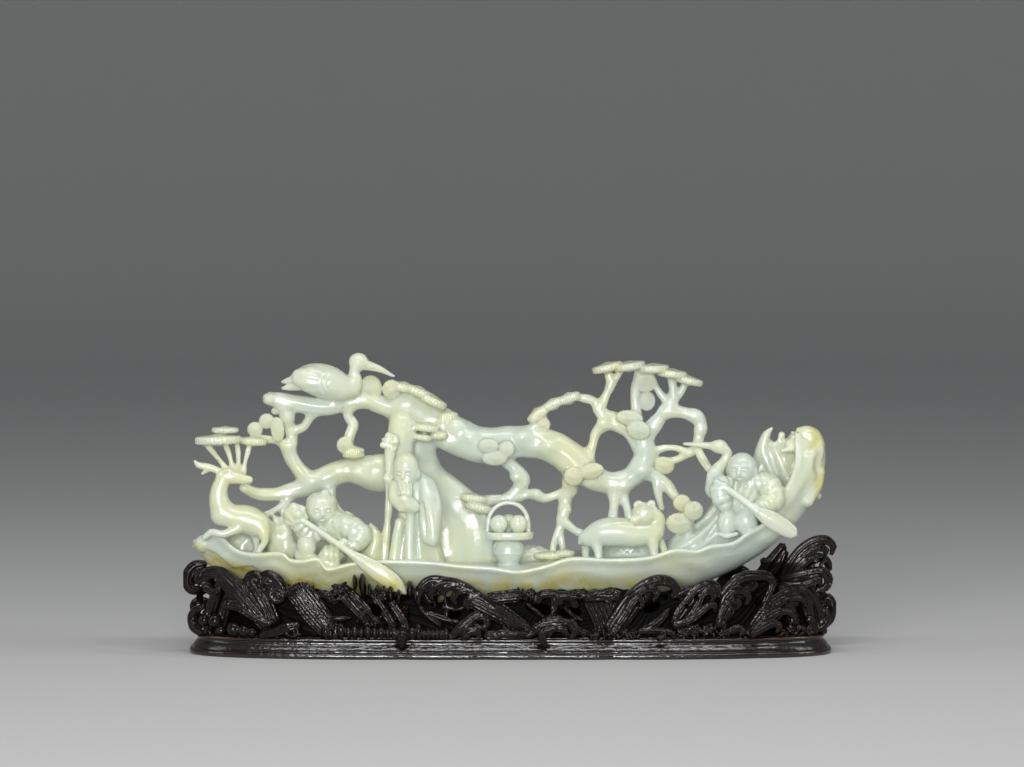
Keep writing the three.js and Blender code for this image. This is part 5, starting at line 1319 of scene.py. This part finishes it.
crumple((39, 28), (53, 34), 46, 1.6, 19, 1.4)
for i in range(7):
    strand([(37 + 2.6 * i, 27.4, 1.3), (40 + 2.5 * i, 21, 1.3), (42 + 2.2 * i, 15, 1.1)], -0.8, ridges=1,
           depth=0.1)
strand([(9, 11.8, 2), (14, 15.8, 3), (19.8, 18.4, 3.2), (26, 18.8, 3.1), (30, 17.4, 2.8), (31.6, 14, 2.6),
        (30.4, 11, 2)], 1.4, ridges=5)
strand([(21, 15, 1.6), (16.6, 14.2, 1.8), (15.6, 11, 1.8), (16.9, 7.6, 1)], 5)
strand([(19, 12.6, 1.2), (21.6, 15.2, 1.5), (26, 14.8, 1.5), (27.6, 12.4, 1.1)], 4)
for px, pz, wide, tall in ((36.2, 13.2, 2.2, 2.4), (39.6, 11.6, 1.2, 2), (42.2, 12, 2, 2.4),
                           (46, 12.8, 1.2, 3), (48.6, 12, 1, 2.2)):
    lump(stand, (px, front_at(px, 3), pz), (wide, 2.6, tall), tilt=12, soft=0.15,
         relief=lambda u, v, w: 0.14 * np.cos(3.4 * u))
crumple((33, 11), (52, 15), 40, 1.6, 20, 1.2)

# The right half: four nests of strands that lean to the right and hook over, with holes between them.
right_strands = [
    ([(48.6, 16, 2.6), (54, 24, 2.9), (59.8, 31.6, 2.8), (66, 36.6, 2.7), (73, 38.8, 2.9), (79, 37.6, 2.7),
      (81.6, 33.8, 2.2), (80, 30.4, 1.2)], 0),
    ([(49.6, 14.8, 2.2), (55, 22.6, 2.4), (60.4, 30.4, 2.4), (65.4, 34.2, 2.3), (69.8, 34.8, 2.2),
      (72.2, 32, 1.8), (70.8, 29.2, 1.1)], 1.2),
    ([(50.6, 13.4, 2), (56, 21, 2.3), (60, 28, 2.3), (63, 30.4, 2), (65.2, 28.4, 1.7), (64.2, 25.4, 1)], 2.4),
    ([(79.8, 15.6, 2), (82.2, 22.4, 2.1), (87.2, 29.2, 2.1), (92.2, 34.8, 2.4), (98.4, 36.8, 2.4),
      (102.2, 34.6, 2), (102.6, 31, 1.2)], 0),
    ([(82.2, 15.4, 1.9), (88.4, 21, 2.1), (92.8, 27.4, 2.1), (94.8, 32, 2.1), (98.4, 33.2, 2),
      (100.4, 30.8, 1.7), (99, 28.4, 1)], 1.2),
    ([(81, 17, 1.9), (87.2, 18.6, 2.1), (93.4, 22.4, 2.1), (97.2, 26, 2), (100.4, 26.4, 1.7),
      (100.8, 23.8, 1)], 2.2),
    ([(104.6, 26, 2.4), (105.4, 31, 2.4), (109.8, 36.4, 2.7), (114.8, 39.8, 2.9), (121, 40.4, 2.9),
      (127, 40, 2.7), (129.6, 36.8, 2.3),
      (128.4, 32.6, 2), (125.6, 27, 1.9), (123, 22, 1.5)], 0),
    ([(103.2, 21, 2.1), (106.6, 30, 2.5), (111, 33.6, 2.5), (115.4, 33, 2.3), (117.6, 30, 1.8),
      (116.6, 27, 1.1)], 1.4),
    ([(102.6, 17, 2), (105.6, 25.8, 2.1), (109.6, 28.4, 2.1), (112.6, 27.4, 1.8), (112, 25, 1)], 2.6),
    ([(118.4, 14.6, 2.1), (125.2, 23.6, 2.5), (132, 29.6, 2.5), (138.4, 32.6, 2.5), (144.4, 33, 2.4),
      (148.6, 30, 2), (149, 26, 1.2)], 0),
    ([(119, 14, 1.9), (126.4, 21.8, 2.3), (133.4, 27, 2.3), (139.6, 29.2, 2.2), (144.4, 28.2, 1.9),
      (146, 25, 1.1)], 1.2),
    ([(119.6, 13.4, 1.9), (127, 19.4, 2.3), (133.2, 22.4, 2.3), (137.8, 22.4, 2), (140.2, 19.8, 1.7),
      (139, 17, 1)], 2.4),
    ([(119.8, 12, 2), (125.2, 15, 2.4), (130.2, 17, 2.3), (132.8, 15.4, 1.8), (131.8, 13, 1)], 3.6),
]
for points, out in right_strands:
    strand(points, out, ridges=3, depth=0.32)
for points in (
    [(52, 14, 3.6), (57, 22, 4.4), (62, 28.6, 4.2), (68, 32, 3)],
    [(83, 16, 3.4), (88, 22.4, 3.8), (93, 28.4, 3.4), (97, 31, 2.2)],
    [(105, 20, 3.4), (109, 28, 4.2), (114, 33, 3.6), (120, 35.6, 2.6)],
    [(121, 14, 4), (128, 20.4, 4.6), (135, 25.4, 4.2), (141, 27.6, 3)],
):
    strand(points, -1.4, ridges=6, depth=0.4, flat=0.5)
strand([(92, 24, 1.4), (87, 26, 1.4), (84, 30.4, 1.2)], -1)
for px, pz, out in ((66.3, 31.8, 2), (70, 31, 1.6), (119, 36, 0), (122.8, 38.6, 1.6), (112.8, 29.8, 2.6),
                    (98, 30.2, 1)):
    eye(px, pz, 0.8, out + 1)
for points in ([(87.8, 25, 0.9), (91, 29, 1)], [(84.4, 22, 0.9), (86.4, 25, 0.9)],
               [(68.6, 27.4, 1.1), (76, 29.6, 1.1)],
               [(120, 31, 1.4), (122.4, 27, 1.4)], [(131, 24.4, 0.7), (136.4, 26.8, 0.7)]):
    front = [(px, front_at(px, 6), pz, r) for px, pz, r in points]
    back = [(px, front_at(px, -8), pz, r) for px, pz, r in reversed(points)]
    bar(stand, front + back, soft=0.4, cut=True)
strand([(65.4, 14.6, 1.3), (71.4, 17.6, 2), (76, 21.8, 1.5), (77.8, 24.6, 0.6)], 2.6)
strand([(63.6, 14, 1.2), (69.8, 14.2, 1.3), (76, 13.8, 1.3), (80.2, 12.6, 1.2), (80.6, 10.4, 0.8)], 3.6)
strand([(73, 10.6, 1.2), (75.4, 11, 1.2), (75.8, 12.8, 0.7)], 5.4)
strand([(82, 31, 1.2), (85.4, 33.2, 1.7), (90, 34.4, 1.3)], 0.2)
strand([(102.2, 18.6, 1.4), (104.8, 17.4, 1.5), (105.6, 14.8, 0.8)], 3)
strand([(108, 13.4, 1.4), (112.4, 15.2, 1.7), (115.4, 13.4, 1)], 3)
crumple((53, 11), (64, 14.6), 30, 2, 21, 1.2)
crumple((82, 11), (102, 16.8), 110, 1.8, 22, 1)
crumple((103, 11), (118, 13.6), 40, 2, 23, 1.2)
crumple((133, 11), (150, 14.6), 44, 2, 24, 1.3)

# Right end: a tall crest that hooks over above a second scroll, and a small double hook at the plinth.
for points in (
    [(134, 33, 3), (137.2, 41.6, 2.7), (140.4, 47.6, 2.6), (145.4, 53.2, 2.6), (151.4, 56.6, 2.6),
     (157, 57, 2.4), (160.2, 54, 1.9), (159.6, 50.6, 1.2)],
    [(136, 34, 2.4), (138.6, 41, 2.3), (142.6, 46.4, 2.3), (147.6, 50.8, 2.3), (153, 53.2, 2.1),
     (156.6, 52, 1.7), (156.4, 49.6, 1)],
    [(138, 35, 2), (141, 40.6, 2), (145, 44.8, 2.2), (149, 47.6, 1.9), (151.6, 47, 1)],
):
    strand(points, ridges=3, deep=-11 - 0.06 * points[0][0])
strand([(135, 37.6, 2.4), (142, 39.2, 2.7), (149.4, 40.8, 2.8), (155.4, 41.2, 2.6), (158, 37.6, 2.4),
        (156.6, 33.6, 2.1), (152.4, 32.2, 1.4)],
       ridges=3, deep=-20)
strand([(136, 35, 2), (142.2, 34.6, 2.4), (148.4, 36, 2.2), (152.8, 37.4, 1.8), (154, 35, 1)], ridges=3,
       deep=-22.4)
for px, pz, size in ((152, 46.4, 1.6), (154.4, 45, 1.4), (150, 44.2, 1.5), (156, 46.6, 1.2)):
    lump(stand, (px, -19, pz), (size, 2, 0.7 * size), tilt=40, soft=0.2)
for points in ([(124, 38, 2.8), (127.4, 43, 2.6), (131.4, 48, 2.4), (135.4, 53, 2)],
               [(130, 38, 2.4), (134.4, 44, 2.2), (136.6, 50, 1.8)],
               [(126, 46, 1.6), (132, 44, 1.8), (137, 46, 1.6)]):
    strand(points, deep=-12)
strand([(155, 26.8, 1.6), (158.2, 27.8, 2), (160.2, 24.8, 2), (160.3, 21, 1.9), (159.4, 17, 1.8),
        (157, 14, 1.4)], deep=-13)
lump(stand, (155.2, -13.6, 26.2), (2.3, 2.3, 2.3), soft=0.2)
strand([(153, 21.4, 1.7), (156.2, 21.6, 2), (157.4, 18.4, 1.9), (156.2, 14.8, 1.8), (153, 12.6, 1.6)],
       deep=-17)
lump(stand, (148.4, front_at(148.4, 2), 18), (2.6, 2.4, 2.4), soft=0.3)
for px in (-151, -144, 141, 150, 155):
    strand([(px, 12, 3), (0.985 * px, 22, 3.4), (0.96 * px, 33, 3)], -2.4, ridges=3)


def wave(foot, crest, size=1.0, y=None):
    """A plainer breaking wave of three strands, one inside the other, hooked over at the tip."""
    lean = 1 if crest[0] >= foot[0] else -1
    for inner, share in enumerate((1.0, 0.76, 0.54)):
        top = (foot[0] + (crest[0] - foot[0]) * share, foot[1] + (crest[1] - foot[1]) * share)
        grown = size * (0.6 + 0.4 * share)
        path = [
            (foot[0], foot[1], 2.8), ((foot[0] + top[0]) / 2 - 1.6 * lean, (foot[1] + top[1]) / 2 + 0.6, 2.7),
            (top[0] - 4.4 * lean * grown, top[1] - 1.4 * grown, 2.5), (top[0], top[1], 2.5),
            (top[0] + 3.6 * lean * grown, top[1] - 1.6 * grown, 2.2),
            (top[0] + 4.8 * lean * grown, top[1] - 4.8 * grown, 1.8),
            (top[0] + 3.6 * lean * grown, top[1] - 7 * grown, 1.1),
        ]
        placed = []
        for px, pz, r in path:
            deep = edge_at(px) - wave_inset + 1.2 * inner
            deep = max(deep, 0.5 * edge_at(px)) if y is None else y * (1 + 0.06 * inner)
            placed.append((px, deep, pz, r * grown))
        bar(stand, placed, soft=0.35, relief=ropes(3, 0.32))


back_waves = [
    ((-122, 12), (-141, 39)), ((-96, 12), (-112, 33)), ((-62, 12), (-78, 35)), ((-22, 12), (-38, 37)),
    ((22, 12), (40, 36)), ((56, 12), (74, 38)), ((94, 12), (116, 38)), ((122, 12), (140, 34)),
]
for foot, crest in back_waves:
    wave(foot, crest, 1.05)
end_waves = [((-140, 12), (-156, 36), 8, 1), ((-146, 12), (-156.6, 24), 16, 0.8),
             ((138, 14), (155, 46), 10, 1.05), ((142, 12), (155.6, 27), 17, 0.9)]
for foot, crest, deep, size in end_waves:
    wave(foot, crest, size, y=deep)

# Foam beads stand along the back of the plinth, some of them drilled.
bead_count = 34
for i in range(bead_count):
    turn = math.pi * (i + 0.5) / bead_count
    px = (plinth_length / 2 - 6.6) * squared(math.cos(turn))
    py = (plinth_depth / 2 - 5.6) * squared(math.sin(turn))
    size = 2.3 + 0.8 * math.sin(5 * i)
    lump(stand, (px, py, plinth_height + 0.7 * size),
         (size * (0.55 + 0.4 * math.sin(3 * i) ** 2), size, 1.25 * size), soft=0.3)

# Openings show the raft's belly, and the seat is cut to the raft with a little clearance.
opening_y = -38
opening_reach = 27
for px, pz, wide, tall, tilt in (
    (-66, 24, 2.4, 3, 20), (-34.6, 28, 1.8, 3.8, -20), (-38.6, 26.4, 1, 1.2, 0), (-29.8, 31, 0.9, 0.9, 0),
    (-27.6, 21.4, 3.2, 1.8, 0),
    (13.6, 24.4, 6.4, 2.8, -14), (29.6, 22.4, 5.4, 2.4, 0), (70, 24.6, 4.4, 2, 20), (96, 20.6, 2, 1.4, 0),
):
    lump(stand, (px, opening_y, pz), (wide, opening_reach, tall), tilt=tilt, soft=0.4, cut=True)
for px in (-46, 50):
    bar(stand, [(px, 56, 26, 4), (px, 12, 26, 4)], soft=1, cut=True)
strand([(8.4, 27, 0.8), (13.6, 22.6, 0.9), (16, 20.6, 0.8)], -1)
strand([(27, 25, 0.9), (31, 21, 1), (35, 19, 0.9)], -1.4)
stand.cut(whole, raft_distance(stand, seat_gap, hollow=False), 0.3)
for shaft in (left_shaft, left_blade):
    bar(stand, [(px, py, pz, r + seat_gap + 0.3) for px, py, pz, r in shaft], flat=0.5, soft=0.3, cut=True)
past_ends = np.maximum(stand_low[0] + 0.3 - x, x + 0.3 - stand_high[0])
stand.depth = np.maximum(stand.depth,
                         np.maximum(past_ends, np.abs(y) + 0.3 - stand_high[1])).astype(np.float32)
stand.depth[0], stand.depth[-1], stand.depth[:, 0], stand.depth[:, -1] = (FAR,) * 4
stand.depth[:, :, 0], stand.depth[:, :, -1] = FAR, FAR

wave_material = dark_wood("waxed_wave_wood", 0.25, 1.0, 0.3)
solid = stand.depth.copy()
for name, side, most in (("stand_front_waves", -1, 190000), ("stand_back_waves", 1, 90000)):
    stand.depth = np.maximum(solid, -side * y).astype(np.float32)
    piece = carved_piece(name, stand, most)
    paint(piece.data, "bend", bend_of(piece.data, 1))
    points = mesh_arrays(piece.data)[0] / MM
    # How far each point lies sunk behind the front waves, for the painted shade in the hollows.
    behind = np.array([edge_at(px) for px in points[:, 0]]) - wave_inset - np.abs(points[:, 1])
    paint(piece.data, "sunk", np.clip((behind - 1.5) / 4, 0, 1) * (points[:, 2] < 46))
    piece.data.materials.append(wave_material)
    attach(piece, "root")
    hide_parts("wave_stand")

# The floor is a plain pale sheet that turns up far away on all sides, so that no edge of it shows.
floor_flat = 3.4
floor_turn = 1.8
floor_wall = 3.4
bend_angles = np.linspace(0, math.pi / 2, 13)
floor_profile = [(floor_flat + floor_turn * math.sin(a), floor_turn * (1 - math.cos(a))) for a in bend_angles]
floor_profile.append((floor_flat + floor_turn, floor_wall))
turns = np.linspace(0, 2 * math.pi, 96, endpoint=False)
floor_rings = [
    np.stack([r * np.cos(turns), r * np.sin(turns), np.full_like(turns, h)], 1) for r, h in floor_profile
]
floor_places = np.vstack([*floor_rings, [[0, 0, 0]]])
index = np.arange(len(turns))
after = (index + 1) % len(turns)
floor_faces = [np.stack([np.full_like(index, len(floor_places) - 1), index, after], 1)]
for level in range(len(floor_profile) - 1):
    low_ring, high_ring = level * len(turns), (level + 1) * len(turns)
    floor_faces.append(np.stack([low_ring + index, high_ring + index, high_ring + after], 1))
    floor_faces.append(np.stack([low_ring + index, high_ring + after, low_ring + after], 1))
floor_mesh = new_mesh("studio_floor", floor_places, np.vstack(floor_faces))
floor_mesh.polygons.foreach_set("use_smooth", np.ones(len(floor_mesh.polygons), bool))
floor_piece = bpy.data.objects.new("studio_floor", floor_mesh)
bpy.context.scene.collection.objects.link(floor_piece)
floor_material, tree, shader = new_material("pale_card")
shader.inputs["Base Color"].default_value = (0.62, 0.62, 0.615, 1)
shader.inputs["Roughness"].default_value = 0.9
shader.inputs["Specular IOR Level"].default_value = 0.2
floor_mesh.materials.append(floor_material)
floor_piece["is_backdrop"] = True

# Soft light: a large lamp in front and above, one overhead, and a narrow one at each side.
lamps = [
    ("front", (-0.2, -1.9, 0.34), (0.8, 0.5), 30.0),
    ("overhead", (0.05, -0.6, 1.2), (1.3, 0.16), 6.5),
    ("left_side", (-1.3, -0.3, 0.6), (0.3, 0.9), 1.6),
    ("right_side", (1.3, -0.4, 0.7), (0.3, 0.9), 3.4),
]
aim = np.array((0.0, 0.0, 0.07))
for name, place, size, power in lamps:
    data = bpy.data.lights.new(name, "AREA")
    data.shape = "RECTANGLE"
    data.size, data.size_y = size
    data.energy = power
    lamp = bpy.data.objects.new(name, data)
    bpy.context.scene.collection.objects.link(lamp)
    away = np.array(place) - aim
    lamp.location = place
    lamp.rotation_euler = (math.atan2(math.hypot(away[0], away[1]), away[2]), 0,
                           math.atan2(away[0], -away[1]))
room = bpy.data.worlds.new("room")
room.use_nodes = True
room.node_tree.nodes["Background"].inputs[0].default_value = (0.80, 0.82, 0.85, 1)
room.node_tree.nodes["Background"].inputs[1].default_value = 0.22
bpy.context.scene.world = room
bpy.context.scene.view_settings.view_transform = "Standard"

# The camera looks a few degrees down on the front, as the photograph does.
view_centre = (0.00075, 0.0, 0.134)
view_distance = 2.4
view_pitch = math.radians(2.6)
frame_width = 0.512
sensor = 36.0
camera_data = bpy.data.cameras.new("front_view")
camera_data.sensor_width = sensor
camera_data.lens = sensor * view_distance / frame_width
camera = bpy.data.objects.new("front_view", camera_data)
bpy.context.scene.collection.objects.link(camera)
camera.location = (
    view_centre[0],
    view_centre[1] - view_distance * math.cos(view_pitch),
    view_centre[2] + view_distance * math.sin(view_pitch),
)
camera.rotation_euler = (math.pi / 2 - view_pitch, 0, 0)
bpy.context.scene.camera = camera

low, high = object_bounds()
